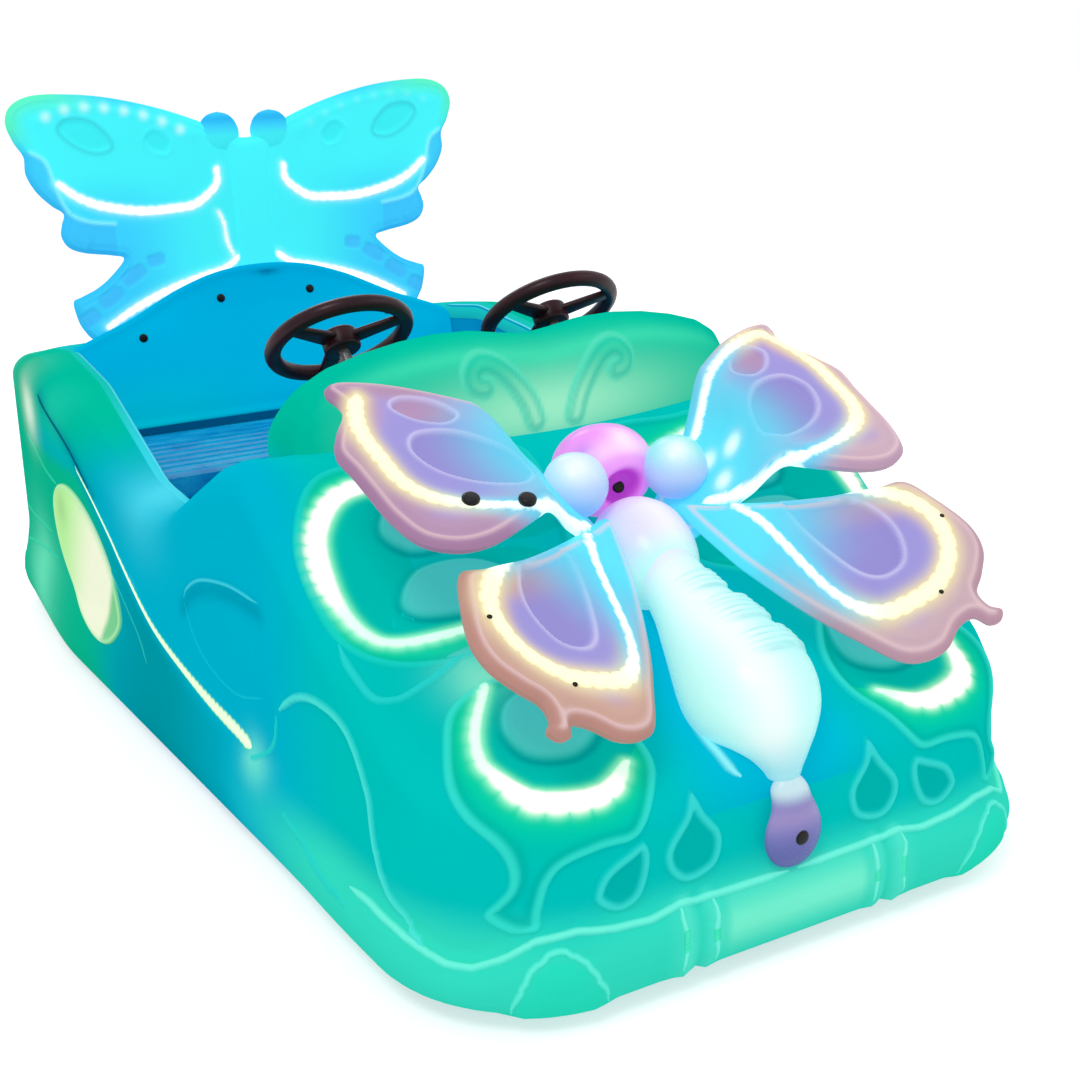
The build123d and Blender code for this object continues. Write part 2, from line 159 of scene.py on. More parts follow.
def nearest(points, spots, reach=0.12):
    """How far each point is from the nearest spot."""
    best = np.full(len(points), reach)
    near = np.nonzero(((points > spots.min(0) - reach) & (points < spots.max(0) + reach)).all(1))[0]
    tree = kdtree.KDTree(len(spots))
    for index, spot in enumerate(spots):
        tree.insert((*spot, 0)[:3], index)
    tree.balance()
    for index in near:
        best[index] = min(reach, tree.find((*points[index], 0)[:3])[2])
    return best


def bell(far, width):
    return np.exp(-(far / width) ** 2)


class Paint:
    """Base and glow colours at the points of one piece."""

    def __init__(self, count, base):
        self.base = np.tile(np.asarray(base, float), (count, 1))
        self.glow = np.zeros((count, 3))

    def over(self, tone, amount):
        self.base += (tone - self.base) * np.asarray(amount)[:, None]

    def lit(self, tone, amount):
        self.glow = np.maximum(self.glow, tone * np.asarray(amount)[:, None])

    def shine(self, glow, base):
        """Turns a share of the paint into light from within, and leaves a share to the lamps."""
        self.glow = self.base * glow
        self.base *= base


def lamp_dots(paint, points, spots, tone, radius, strength):
    """Soft round glows of single lamps under a translucent skin."""
    share = bell(nearest(points, spots, 0.14), radius) * strength
    paint.over(tone, share)
    paint.lit(tone, share * 0.9)


def follow(points, line, reach=0.12):
    """How far each point is from a line, on which side of it (1 or -1), and how far along it."""
    gap = np.full(len(points), reach)
    side = np.ones(len(points))
    along_line = np.zeros(len(points))
    starts = lengths_of(line)
    for start, end, begun in zip(line, line[1:], starts):
        run = end - start
        moved = points - start
        t = np.clip(moved @ run / max(run @ run, 1e-12), 0, 1)
        here = np.linalg.norm(moved - t[:, None] * run, axis=1)
        closer = here < gap
        gap[closer] = here[closer]
        side[closer] = np.sign(run[0] * moved[closer, 1] - run[1] * moved[closer, 0])
        along_line[closer] = begun + t[closer] * np.linalg.norm(run)
    return gap, side, along_line


def glow_band(paint, gap, side, along_line, look):
    """A band of light under a translucent skin, smooth on one side, scalloped by its lamps on the other."""
    turn = (along_line / look["pitch"]) % 1 * 2 - 1
    bump = np.sqrt(np.clip(1 - turn * turn, 0, 1))
    shares = np.linspace(0, 1, len(look["widths"]))
    half = np.interp(along_line / max(along_line.max(), 1e-9), shares, look["widths"]) / 1000
    outer = side * look["outer"] > 0
    edge = half * np.where(outer, 0.84 + 0.34 * bump, 0.84 + look["inner_scallop"] * bump)
    heart = 1 - ease(gap / edge, 0.62, 1.30)
    past = np.maximum(gap - half, 0)
    halo = np.where(outer, bell(past, look["halo"]), bell(past, look["halo"] * 0.5))
    wide = ease(half, look["thin"], look["thin"] + 0.006)
    paint.over(look["halo_tone"], halo * 0.85)
    paint.lit(look["halo_tone"], halo * 0.34)
    rim_glow = bell(np.maximum(gap - edge, 0), look["halo"] * 0.32)
    paint.over(look["rim_tone"], rim_glow * 0.8)
    paint.lit(look["rim_tone"], rim_glow * 0.45)
    core = look["core"] * wide[:, None] + look["thin_tone"] * (1 - wide[:, None])
    paint.base += (core - paint.base) * heart[:, None]
    paint.glow = np.maximum(paint.glow, core * heart[:, None] * look["strength"])


lime_core = colour(244, 255, 236)
upper_look = {"widths": (4, 9, 14, 16, 15, 15, 14, 9, 8, 8, 7, 6), "pitch": 0.023, "outer": 1,
              "inner_scallop": 0.03,
              "halo": 0.021, "core": lime_core, "halo_tone": colour(20, 218, 166), "strength": 0.92,
              "rim_tone": colour(150, 255, 214), "thin": 0.0075, "thin_tone": colour(196, 255, 212)}
lower_look = {"widths": (6, 6, 7, 7, 9, 13, 16, 16, 15, 12, 5), "pitch": 0.025, "outer": 1,
              "inner_scallop": 0.05,
              "halo": 0.021, "core": lime_core, "halo_tone": colour(20, 218, 166), "strength": 0.92,
              "rim_tone": colour(150, 255, 214), "thin": 0.0075, "thin_tone": colour(204, 255, 214)}
flank_look = {"widths": (1.2, 1.8, 2.6, 3.4, 4.4, 5.2, 6.0, 7.0, 8.0, 7.5), "pitch": 0.016, "outer": 1,
              "inner_scallop": 0.42, "halo": 0.0045, "core": colour(214, 255, 200),
              "halo_tone": colour(40, 214, 165),
              "strength": 0.85, "rim_tone": colour(60, 224, 170), "thin": 0, "thin_tone": lime_core}

# Pieces


def keep(piece, name, body="chassis", finish=None, stands_for=()):
    """Names a finished piece, and says what it rides on and stands for."""
    piece.name = name
    piece.data.name = name
    if finish is not None:
        piece.data.materials.clear()
        piece.data.materials.append(finish)
    if stands_for:
        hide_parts(*stands_for)
    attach(piece, body)
    piece.select_set(False)
    return piece


def apply_all(piece):
    bpy.context.view_layer.objects.active = piece
    for modifier in list(piece.modifiers):
        bpy.ops.object.modifier_apply(modifier=modifier.name)


def settle(piece):
    """Puts a piece's place into its mesh."""
    bpy.ops.object.select_all(action="DESELECT")
    piece.select_set(True)
    bpy.context.view_layer.objects.active = piece
    bpy.ops.object.transform_apply(location=True, rotation=True, scale=True)
    piece.select_set(False)


def coloured(piece, paint):
    """Stores paint on the points of a piece."""
    for name, values in (("paint", paint.base), ("glow", paint.glow)):
        attribute = piece.data.attributes.new(name, "FLOAT_COLOR", "POINT")
        four = np.ones((len(values), 4))
        four[:, :3] = np.clip(values, 0, 1)
        attribute.data.foreach_set("color", four.ravel())


def points_of(piece):
    flat = np.empty(len(piece.data.vertices) * 3)
    piece.data.vertices.foreach_get("co", flat)
    return flat.reshape(-1, 3)


def place_points(piece, points):
    piece.data.vertices.foreach_set("co", np.asarray(points, float).ravel())
    piece.data.update()


def smooth(piece, angle=40):
    bpy.ops.object.select_all(action="DESELECT")
    piece.select_set(True)
    bpy.context.view_layer.objects.active = piece
    bpy.ops.object.shade_smooth_by_angle(angle=radians(angle), keep_sharp_edges=False)
    piece.select_set(False)


def bevelled(piece, width, segments):
    bevel = piece.modifiers.new("Bevel", "BEVEL")
    bevel.width = width
    bevel.segments = segments
    apply_all(piece)


def joined(parts):
    """Joins pieces into the first of them."""
    bpy.ops.object.select_all(action="DESELECT")
    for part in parts:
        part.select_set(True)
    bpy.context.view_layer.objects.active = parts[0]
    bpy.ops.object.join()
    return bpy.context.object


def built(name, points, faces):
    """A piece from points and faces, kept inside the CAD model's box."""
    points = np.clip(points, box_low + 0.0005, box_high - 0.0005)
    mesh = bpy.data.meshes.new(name)
    mesh.from_pydata([tuple(point) for point in points], [], [tuple(face) for face in faces])
    piece = bpy.data.objects.new(name, mesh)
    scene.collection.objects.link(piece)
    return piece


def tidy_normals(piece):
    bpy.ops.object.select_all(action="DESELECT")
    piece.select_set(True)
    bpy.context.view_layer.objects.active = piece
    bpy.ops.object.mode_set(mode="EDIT")
    bpy.ops.mesh.select_all(action="SELECT")
    bpy.ops.mesh.remove_doubles(threshold=0.00002)
    bpy.ops.mesh.normals_make_consistent(inside=False)
    bpy.ops.object.mode_set(mode="OBJECT")
    piece.select_set(False)


# Materials


class Value:
    """A number in a shader, with the usual operators."""

    def __init__(self, graph, socket):
        self.graph = graph
        self.socket = socket

    def math(self, operation, *others):
        inputs = {0: self}
        for index, other in enumerate(others):
            inputs[index + 1] = other
        return self.graph.node("ShaderNodeMath", {"operation": operation}, inputs)

    def __add__(self, other):
        return self.math("ADD", other)

    def __sub__(self, other):
        return self.math("SUBTRACT", other)

    def __rsub__(self, other):
        return self.math("MULTIPLY", -1.0).math("ADD", other)

    def __mul__(self, other):
        return self.math("MULTIPLY", other)

    __radd__ = __add__
    __rmul__ = __mul__


class Graph:
    """The nodes of one material or world."""

    def __init__(self, owner, shader="Principled BSDF"):
        owner.use_nodes = True
        self.owner = owner
        self.tree = owner.node_tree
        self.shader = self.tree.nodes[shader]

    def node(self, kind, settings=None, inputs=None, output=0):
        made = self.tree.nodes.new(kind)
        for key, value in (settings or {}).items():
            if key == "stops":
                ramp = made.color_ramp
                while len(ramp.elements) < len(value):
                    ramp.elements.new(0.5)
                for element, (position, tone) in zip(ramp.elements, value):
                    element.position = position
                    element.color = (*tone, 1) if len(tone) == 3 else tone
            else:
                setattr(made, key, value)
        for key, value in (inputs or {}).items():
            self.feed(made.inputs[key], value)
        return Value(self, made.outputs[output])

    def feed(self, socket, value):
        if isinstance(value, Value):
            self.tree.links.new(value.socket, socket)
        else:
            socket.default_value = value

    def set(self, **values):
        for key, value in values.items():
            self.feed(self.shader.inputs[key.replace("_", " ")], value)

    def coordinates(self, stretch=(1, 1, 1)):
        place = self.node("ShaderNodeTexCoord", output=3)
        return self.node("ShaderNodeMapping", {}, {"Vector": place, "Scale": stretch})

    def noise(self, scale, detail=3.0, stretch=(1, 1, 1), roughness=0.55):
        return self.node("ShaderNodeTexNoise", {}, {
            "Vector": self.coordinates(stretch), "Scale": scale, "Detail": detail, "Roughness": roughness})

    def span(self, value, low, high, from_low=0.3, from_high=0.7):
        return self.node("ShaderNodeMapRange", {}, {
            "Value": value, "From Min": from_low, "From Max": from_high, "To Min": low, "To Max": high})

    def mix(self, amount, first, second, blend="MIX"):
        made = self.tree.nodes.new("ShaderNodeMix")
        made.data_type = "RGBA"
        made.blend_type = blend
        self.feed(made.inputs[0], amount)
        for socket, value in ((made.inputs[6], first), (made.inputs[7], second)):
            self.feed(socket, value if isinstance(value, Value) else (*value, 1))
        return Value(self, made.outputs[2])

    def bump(self, height, strength, depth):
        bumped = self.node("ShaderNodeBump", {}, {"Strength": strength, "Distance": depth, "Height": height})
        self.set(Normal=bumped)


def painted_plastic(name, rough_low, rough_high, gloss, grain=900, grain_depth=0.00012, coat=0.0, haze=0.2):
    """Moulded translucent plastic, coloured and lit by the paint on its points."""
    graph = Graph(bpy.data.materials.new(name))
    base = graph.node("ShaderNodeAttribute", {"attribute_name": "paint"})
    glow = graph.node("ShaderNodeAttribute", {"attribute_name": "glow"})
    cloud = graph.span(graph.noise(7, 4), 0.0, 1.0)
    shaded = graph.mix(cloud * haze, base, (0.55, 0.62, 0.62), "MULTIPLY")
    graph.set(Base_Color=shaded, Emission_Color=glow, Emission_Strength=1.0)
    scuff = graph.span(graph.noise(60, 5, (1, 1, 3)), rough_low, rough_high)
    graph.set(Roughness=scuff, Specular_IOR_Level=gloss)
    if coat:
        graph.set(Coat_Weight=coat, Coat_Roughness=0.12)
    graph.bump(graph.noise(grain, 2), 0.35, grain_depth)
    return graph.owner


def worked(name, first, second, rough_low, rough_high, metal=0.0, patch=9, grain=500, depth=0.0002, coat=0.0,
           stretch=(1, 1, 1), gloss=0.5):
    """A finish with patches of two colours, uneven gloss and a fine grain."""
    graph = Graph(bpy.data.materials.new(name))
    patches = graph.span(graph.noise(patch, 5, stretch), 0.0, 1.0, 0.35, 0.65)
    graph.set(Base_Color=graph.mix(patches, first, second), Metallic=metal, Specular_IOR_Level=gloss)
    graph.set(Roughness=graph.span(graph.noise(patch * 5, 4, stretch), rough_low, rough_high))
    if coat:
        graph.set(Coat_Weight=coat, Coat_Roughness=0.15)
    graph.bump(graph.noise(grain, 3, stretch), 0.5, depth)
    return graph.owner


shell_finish = painted_plastic("shell_plastic", 0.36, 0.50, 0.0, haze=0.12)
wing_finish = painted_plastic("wing_plastic", 0.30, 0.44, 0.06)
body_finish = painted_plastic("butterfly_plastic", 0.22, 0.34, 0.12, 300, 0.00008, coat=0.15, haze=0.08)
rear_finish = painted_plastic("rear_panel_plastic", 0.32, 0.46, 0.0)

finishes = {
    # slot: first colour, second colour, roughness low and high, metal, patch scale, grain scale, grain depth
    "blue_tub": worked("tub_plastic", colour(0, 170, 220), colour(0, 188, 222), 0.34, 0.5, 0, 5, 700,
                       0.0001, gloss=0.1),
    "navy_box": worked("navy_plastic", colour(6, 16, 38), colour(10, 30, 60), 0.3, 0.48, 0, 8, 600, 0.0001,
                       gloss=0.15),
    "battery_case": worked("battery_case", colour(28, 28, 32), colour(44, 44, 50), 0.42, 0.6, 0, 12, 500,
                           0.0002),
    "black_steel": worked("painted_steel", colour(20, 21, 24), colour(42, 40, 40), 0.34, 0.62, 0.15, 14,
                          300, 0.0003),
    "bare_steel": worked("bare_steel", colour(150, 152, 156), colour(118, 116, 112), 0.24, 0.45, 1.0, 25, 800,
                         0.0001, 0, (1, 1, 6)),
    "steel_pan": worked("pan_steel", colour(84, 88, 92), colour(66, 66, 66), 0.4, 0.66, 0.8, 9, 400, 0.0003),
    "black_plastic": worked("black_plastic", colour(10, 10, 12), colour(20, 20, 23), 0.24, 0.38, 0, 16,
                            900, 0.0002,
                            gloss=0.2),
    "tyre": worked("tyre_rubber", colour(20, 20, 21), colour(38, 37, 36), 0.66, 0.86, 0, 20, 700, 0.0004),
    "cast_hub": worked("cast_hub", colour(158, 160, 164), colour(120, 122, 126), 0.3, 0.5, 0.9, 18, 600,
                       0.0003),
    "maroon_grip": worked("grip_plastic", colour(34, 8, 18), colour(54, 16, 28), 0.28, 0.42, 0, 12, 900,
                          0.0001,
                          gloss=0.2),
}

# Body form: outline seen from above, and the bonnet and arm rest line seen from the side


def rounded_path(corners, steps=24):
    """Points along a path of x, y, radius, with its corners rounded."""
    path = [np.array(corners[0][:2], float)]
    for before, corner, after in zip(corners, corners[1:], corners[2:]):
        point = np.array(corner[:2], float)
        back = np.array(before[:2]) - point
        ahead = np.array(after[:2]) - point
        back /= np.linalg.norm(back)
        ahead /= np.linalg.norm(ahead)
        half = np.arccos(np.clip(back @ ahead, -1, 1)) / 2
        reach = corner[2] / np.tan(half)
        centre = point + (back + ahead) / np.linalg.norm(back + ahead) * corner[2] / np.sin(half)
        first = point + back * reach - centre
        last = point + ahead * reach - centre
        turn = np.arctan2(first[0] * last[1] - first[1] * last[0], first @ last)
        for angle in np.linspace(0, turn, steps + 1):
            path.append(centre + np.array([
                first[0] * cos(angle) - first[1] * sin(angle),
                first[0] * sin(angle) + first[1] * cos(angle)]))
    path.append(np.array(corners[-1][:2], float))
    return np.array(path)


outline = rounded_path([(0, -1.022), (0.455, -1.022, 0.215), (0.580, 0.500, 1.5), (0.562, 1.024, 0.16),
                        (0, 1.024)])
outline_s = lengths_of(outline)
tub_edge = rounded_path([(0, -0.330), (0.436, -0.330, 0.06), (0.436, 0.908, 0.06), (0, 0.908)], 14)
tub_edge_s = lengths_of(tub_edge)
side_line = rounded_path([
    (-1.122, 0.224), (-0.900, 0.300, 0.3), (-0.670, 0.402, 0.3), (-0.430, 0.578, 0.06), (-0.330, 0.560, 0.06),
    (-0.090, 0.432, 0.11), (0.090, 0.432, 0.2), (0.450, 0.536, 0.3), (0.700, 0.556, 0.2), (1.124, 0.505)], 10)
shoulder = 0.042


def top_height(y):
    return np.interp(y, side_line[:, 0], side_line[:, 1])


def along(path, lengths, s):
    """Place and outward direction at a length along a path."""
    step = 0.004
    place = np.stack([np.interp(s, lengths, path[:, axis]) for axis in (0, 1)], -1)
    ahead = np.stack([np.interp(s + step, lengths, path[:, axis]) for axis in (0, 1)], -1)
    back = np.stack([np.interp(s - step, lengths, path[:, axis]) for axis in (0, 1)], -1)
    run = ahead - back
    run /= np.linalg.norm(run, axis=-1, keepdims=True)
    return place, np.stack([run[..., 1], -run[..., 0]], -1)


def s_at_side(y):
    """The length along the outline at a place on its side."""
    side = (outline[:, 0] > 0.45) & (outline[:, 1] > -0.9)
    return float(np.interp(y, outline[side, 1], outline_s[side]))


# The rim's upper edge undulates round the front corner: length along the outline, height
rim_line = np.array([
    (0, 0.128), (0.117, 0.130), (0.166, 0.133), (0.208, 0.125), (0.257, 0.130), (0.306, 0.139),
    (0.355, 0.132),
    (0.388, 0.111), (0.430, 0.092), (0.463, 0.090), (0.541, 0.112), (0.600, 0.118), (0.80, 0.100),
    (1.0, 0.100),
    (1.2, 0.110), (3.0, 0.120)])
rim_profile = np.array([
    # share of the rim's height, how far out it stands
    (0, -0.002), (0.10, 0.006), (0.25, 0.012), (0.45, 0.0155), (0.62, 0.0155), (0.80, 0.011), (0.92, 0.003),
    (1.0, -0.008), (1.12, -0.014), (1.3, -0.0145)])
skirt_z = 0.030


def wall_out(s, z, front):
    """How far the body wall stands out from its outline at a height."""
    draw = np.interp(z, [0.12, 0.64], [0.012, 0.026]) * (1 - front) + np.interp(z, [0.12, 0.64],
                                                                                [0.012, 0.050]) * front
    top = np.interp(s, rim_line[:, 0], rim_line[:, 1])
    share = (z - skirt_z) / (top - skirt_z)
    rim = np.interp(share, rim_profile[:, 0], rim_profile[:, 1])
    sides = ease(s, 0.62, 0.95) * (1 - ease(s, 2.2, 2.5))
    plain = np.interp(z, [0.03, 0.05, 0.08, 0.12, 0.17, 0.2], [-0.004, 0.004, 0.008, 0.004, -0.008, -0.0135])
    low = rim * (1 - sides) + plain * sides
    blend = ease(share, 1.1, 1.35) * (1 - sides) + ease(z, 0.15, 0.2) * sides
    return low * (1 - blend) - draw * blend


# Body skin: rows run from the skirt up the wall, over the shoulder, across the top and into the tub
front_columns = 165
rear_columns = 150
wall_rows = 44
shoulder_rows = 8
top_rows = 88
roll_rows = 10
split_s = s_at_side(-0.33)
half_s = outline_s[-1]
column_s = np.concatenate([
    np.linspace(0, split_s, front_columns, endpoint=False), np.linspace(split_s, half_s, rear_columns + 1)])
corner_s = 0.423
tub_knots = [
    (0, 0), (split_s, corner_s), (s_at_side(0.85), tub_edge_s[-1] - corner_s),
    (half_s, tub_edge_s[-1])]
roll_radius = 0.022
wall_thick = 0.008


def body_column(s):
    """The closed section of the body at one length along its outline."""
    place, out = along(outline, outline_s, s)
    front = float(np.clip(-out[1], 0, 1))
    edge_s = np.interp(s, [knot[0] for knot in tub_knots], [knot[1] for knot in tub_knots])
    edge, edge_out = along(tub_edge, tub_edge_s, edge_s)
    high = top_height(place[1] - out[1] * 0.02) - shoulder
    rows = []
    for z in skirt_z + (high - skirt_z) * np.linspace(0, 1, wall_rows, endpoint=False) ** 0.92:
        rows.append((*(place + out * wall_out(s, z, front)), z))
    head = place + out * wall_out(s, high, front)
    for angle in np.linspace(0, pi / 2, shoulder_rows, endpoint=False):
        spot = head - out * shoulder * (1 - cos(angle))
        rows.append((*spot, top_height(spot[1]) - shoulder * (1 - sin(angle))))
    start = head - out * shoulder
    end = edge + edge_out * roll_radius
    crown = ease(s, split_s - 0.1, split_s + 0.1) * 0.006
    for t in np.linspace(0, 1, top_rows, endpoint=False):
        spot = start + (end - start) * t
        rows.append((*spot, top_height(spot[1]) + crown * sin(pi / 2 * t)))
    for angle in np.linspace(0, pi / 2, roll_rows):
        spot = end - edge_out * roll_radius * sin(angle)
        rows.append((*spot, top_height(end[1]) + crown - roll_radius * (1 - cos(angle))))
    rows = rows[:-1] + [(*edge, rows[-1][2] - 0.010)]
    inner_top = head - out * (wall_thick + 0.004)
    under = [
        (edge + edge_out * 0.014, top_height(end[1]) - 0.040),
        (start * 0.5 + end * 0.5, top_height((start * 0.5 + end * 0.5)[1]) - 0.012),
        (start, top_height(start[1]) - 0.012),
        (inner_top, high - 0.006),
        (place - out * 0.026, high * 0.7 + skirt_z * 0.3),
        (place - out * 0.020, high * 0.35 + skirt_z * 0.65),
        (place - out * 0.014, skirt_z + 0.02),
        (place - out * 0.010, skirt_z + 0.0005),
    ]
    for spot, z in under:
        rows.append((*spot, z))
    return rows


half_grid = np.array([body_column(s) for s in column_s])
column_count, row_count = half_grid.shape[:2]
flat = half_grid.reshape(-1, 3)
grid_s = np.repeat(column_s, row_count)
grid_row = np.tile(np.arange(row_count), column_count)
outer_rows = wall_rows + shoulder_rows + top_rows + roll_rows


def grid_normals(grid, closed_rows=True):
    across = np.gradient(grid, axis=0)
    up = (np.roll(grid, -1, 1) - np.roll(grid, 1, 1)) if closed_rows else np.gradient(grid, axis=1)
    normal = np.cross(across, up)
    size = np.linalg.norm(normal, axis=2, keepdims=True)
    return normal / np.maximum(size, 1e-9)


normals = grid_normals(half_grid).reshape(-1, 3)
on_wall = grid_row < wall_rows + shoulder_rows
on_top = (grid_row >= wall_rows) & (grid_row < wall_rows + shoulder_rows + top_rows)
shown = grid_row < outer_rows

# Bonnet: raised and sunk forms on each half, in millimetres on the plain surface
upper_pad = curve(mm(
    (60, -470, 552), (200, -450, 563), (330, -446, 566), (400, -468, 550), (446, -540, 497), (452, -620, 438),
    (436, -690, 394), (380, -734, 374), (280, -742, 370), (150, -706, 387), (70, -640, 424)), closed=True)
upper_lamps = curve(mm(
    (123, -506, 523), (220, -486, 537), (309, -483, 539), (364, -493, 532), (404, -528, 506),
    (420, -566, 478),
    (422, -619, 440), (405, -669, 405), (367, -694, 392), (269, -694, 392), (190, -680, 398)))
upper_ovals = [
    curve(mm((238, -505, 523), (300, -510, 519), (330, -548, 491), (300, -582, 466), (240, -575, 471)),
          closed=True),
    curve(mm((215, -600, 453), (300, -600, 453), (345, -640, 424), (318, -668, 405), (215, -672, 402),
             (160, -640, 424)), closed=True),
]
upper_lobe = curve(mm(
    (440, -670, 402), (443, -700, 388), (441, -729, 376), (437, -755, 364), (427, -770, 358),
    (409, -775, 356),
    (387, -770, 358), (345, -754, 365), (312, -738, 372), (286, -731, 375)))
lower_pad = curve(mm(
    (230, -775, 355), (300, -778, 354), (359, -804, 342), (392, -854, 320), (410, -905, 298),
    (404, -952, 278),
    (375, -972, 232), (371, -971, 190), (396, -950, 148), (372, -972, 128), (340, -990, 130),
    (331, -993, 168),
    (313, -996, 205), (263, -1003, 219), (212, -1003, 222), (176, -992, 266), (151, -932, 289),
    (165, -850, 322)),
    closed=True)
lower_lamps = curve(mm(
    (299, -789, 349), (339, -842, 326), (354, -880, 310), (352, -905, 299), (327, -955, 281),
    (274, -975, 274),
    (231, -972, 275), (193, -945, 285)))
lower_oval = curve(mm(
    (215, -800, 344), (280, -808, 340), (312, -850, 322), (300, -900, 300), (240, -916, 294),
    (190, -880, 310)),
    closed=True)
drops = [
    curve(mm((134, -1001, 262), (120, -1006, 232), (98, -1006, 196), (108, -1008, 160), (147, -1008, 148),
             (172, -1007, 166), (176, -1006, 196), (150, -1005, 232)), closed=True),
    curve(mm((207, -1004, 214), (199, -1005, 189), (214, -1009, 150), (246, -1008, 138), (274, -1006, 160),
             (262, -1005, 190), (232, -1004, 206)), closed=True),
]
teardrop = curve(mm(
    (478, -531, 267), (473, -593, 308), (470, -660, 326), (462, -740, 318), (458, -789, 262),
    (456, -801, 206),
    (458, -827, 150), (457, -878, 118), (448, -925, 98)))
teardrop_low = curve(mm((478, -531, 267), (488, -500, 200), (494, -405, 135), (486, -520, 126),
                        (488, -591, 111),
                        (491, -663, 98), (480, -760, 88)))
swooshes = [
    curve(mm((480, -476, 402), (488, -370, 398), (498, -262, 376), (506, -200, 345), (506, -181, 322))),
    curve(mm((506, -181, 322), (504, -220, 269), (500, -290, 240), (494, -380, 236), (484, -470, 262))),
]

shell_base = 0.61
shell_glow = 0.46
relief = np.zeros(len(flat))
paint = Paint(len(flat), teal)
x, y, z = flat.T

# Broad colours first
flank_lamps = curve(mm(
    (545, 330, 425), (538, 240, 380), (533, 160, 335), (531, 115, 306), (525, 30, 256), (520, -44, 225),
    (512, -148, 202), (503, -262, 186), (494, -370, 178), (491, -430, 172)))
lamp_height = np.interp(y, flank_lamps[::-1, 1], flank_lamps[::-1, 2])
below_lamps = on_wall * ease(lamp_height - z, 0.0, 0.035) * ease(y, -0.46, -0.30)
arm_rest = ease(y, 0.02, 0.35) * ease(x, 0.42, 0.47)
paint.over(cyan_blue, ease(y, -0.74, -0.45) * (1 - ease(y, 0.16, 0.36)) * ease(x, 0.36, 0.46))
paint.over(colour(0, 168, 190), arm_rest * on_wall * 0.6)
paint.over(leaf_green, arm_rest * (1 - on_wall) * 0.75)
paint.over(leaf_green, arm_rest * on_wall * ease(z, 0.40, 0.50) * 0.75)
paint.over(colour(0, 148, 158), below_lamps * bell(y + 0.05, 0.30) * 0.85)
paint.over(colour(8, 186, 146), below_lamps * ease(y, 0.10, 0.34))
paint.over(colour(8, 186, 146), on_wall * ease(y, 0.50, 0.78))
paint.over(leaf_green, on_wall * ease(y, 0.95, 1.0))
paint.over(aqua, (1 - ease(grid_s, 0.7, 1.1)) * (1 - ease(z, 0.10, 0.17)) * on_wall * 0.85)
# Painted highlight: a light cyan sheen on the tub's rolled edge, strongest at the low entry
paint.over(colour(60, 222, 240), ease(grid_row, wall_rows + shoulder_rows + top_rows - 8, outer_rows - 8)
           * ease(y, -0.3, -0.12) * (1 - ease(y, 0.12, 0.45) * 0.75) * 0.9)
paint.over(colour(0, 178, 214), bell(x, 0.12) * (1 - ease(y, -0.68, -0.58)) * on_top * 0.9)
paint.over(colour(150, 246, 208),
           bell(np.linalg.norm(flat - np.array([0.285, -0.775, 0.355]), axis=1), 0.05) * 0.8)
# Light that leaks out beside the butterfly's abdomen
valley = curve(mm(
    (24, -782, 352), (49, -837, 328), (66, -888, 306), (74, -938, 287), (71, -982, 272), (57, -1011, 262)))
paint.over(colour(0, 190, 222), bell(distance(flat, valley), 0.045) * 0.7)

# Forms between the moulded wings
far = distance(flat, upper_lobe)
relief += 0.003 * bell(far, 0.018) * shown
# Ridges and scoops on the corner and flank
for line in (teardrop, teardrop_low):
    relief += 0.004 * bell(distance(flat, line), 0.016) * shown
# Painted shade: a darker band just under the upper scoop's lip
paint.over(colour(0, 150, 176), bell(distance(flat, swooshes[0] - np.array([0, 0, 0.014])), 0.014) * 0.7)

# Bamboo joints, the pale bar between them, and the leaf mound at each corner
rim_top_here = np.interp(grid_s, rim_line[:, 0], rim_line[:, 1])
on_rim = on_wall * (1 - ease(z, rim_top_here - 0.004, rim_top_here + 0.006)) * (grid_s < 0.7)
for joint in (0.124, 0.167):
    relief += 0.006 * bell(grid_s - joint, 0.007) * on_rim
    # Painted highlight: lighter on each raised joint
    paint.over(colour(110, 250, 225), bell(grid_s - joint, 0.007) * 0.6 * on_rim)
relief -= 0.004 * bell(grid_s - 0.1455, 0.008) * on_rim
paint.over(colour(130, 250, 215), (1 - ease(grid_s, 0.10, 0.118)) * on_rim * bell(z - 0.085, 0.03) * 0.8)
mound_top = 0.112
mound = 1 - ((grid_s - 0.328) / 0.060) ** 2 - (z - skirt_z) / (mound_top - skirt_z)
relief += on_wall * 0.006 * ease(mound, -0.10, 0.35) * (z < 0.14)
paint.over(colour(30, 225, 190), on_wall * ease(mound, 0.0, 0.1) * 0.6)

# Flank: wing veins, groove and lamps
groove = curve(mm((556, 560, 515), (555, 523, 504), (547, 368, 452), (538, 235, 381)))
veins = [
    curve(mm((555, 760, 400), (555, 672, 389), (557, 560, 372), (557, 452, 358))),
    curve(mm((556, 860, 225), (556, 776, 225), (562, 640, 238), (563, 549, 246))),
    curve(mm((557, 860, 150), (557, 793, 163), (563, 650, 186), (564, 516, 202))),
]
far = distance(flat, groove)
# Painted shade along the groove between the arm rest and the flank
paint.over(colour(0, 130, 150), bell(far, 0.016) * 0.6 * shown)
# Soft patches of colour on the flank and arm rest, two of them painted highlights
for spot, size, tone, share in (
        ((0.55, 0.690, 0.462), 0.055, colour(235, 255, 232), 0.9),
        ((0.55, 0.66, 0.13), 0.105, colour(120, 242, 200), 0.8),
        ((0.492, -0.445, 0.160), 0.032, colour(120, 240, 215), 0.8),
        # Painted highlight: a whitish sheen on the rear of the arm rest
        ((0.52, 0.93, 0.505), 0.05, colour(150, 240, 225), 0.5),
        # Painted highlight: a light cyan patch on the low entry
        ((0.470, 0.02, 0.432), 0.075, colour(84, 224, 246), 0.85),
        ((0.545, 0.45, 0.50), 0.05, colour(40, 214, 180), 0.5)):
    far = np.linalg.norm((flat - np.array(spot)) * np.array([1, 0.8, 1.0]), axis=1)
    paint.over(tone, bell(far, size) * share * shown)
paint.glow = np.maximum(paint.glow, paint.base * shell_glow)
paint.base *= shell_base

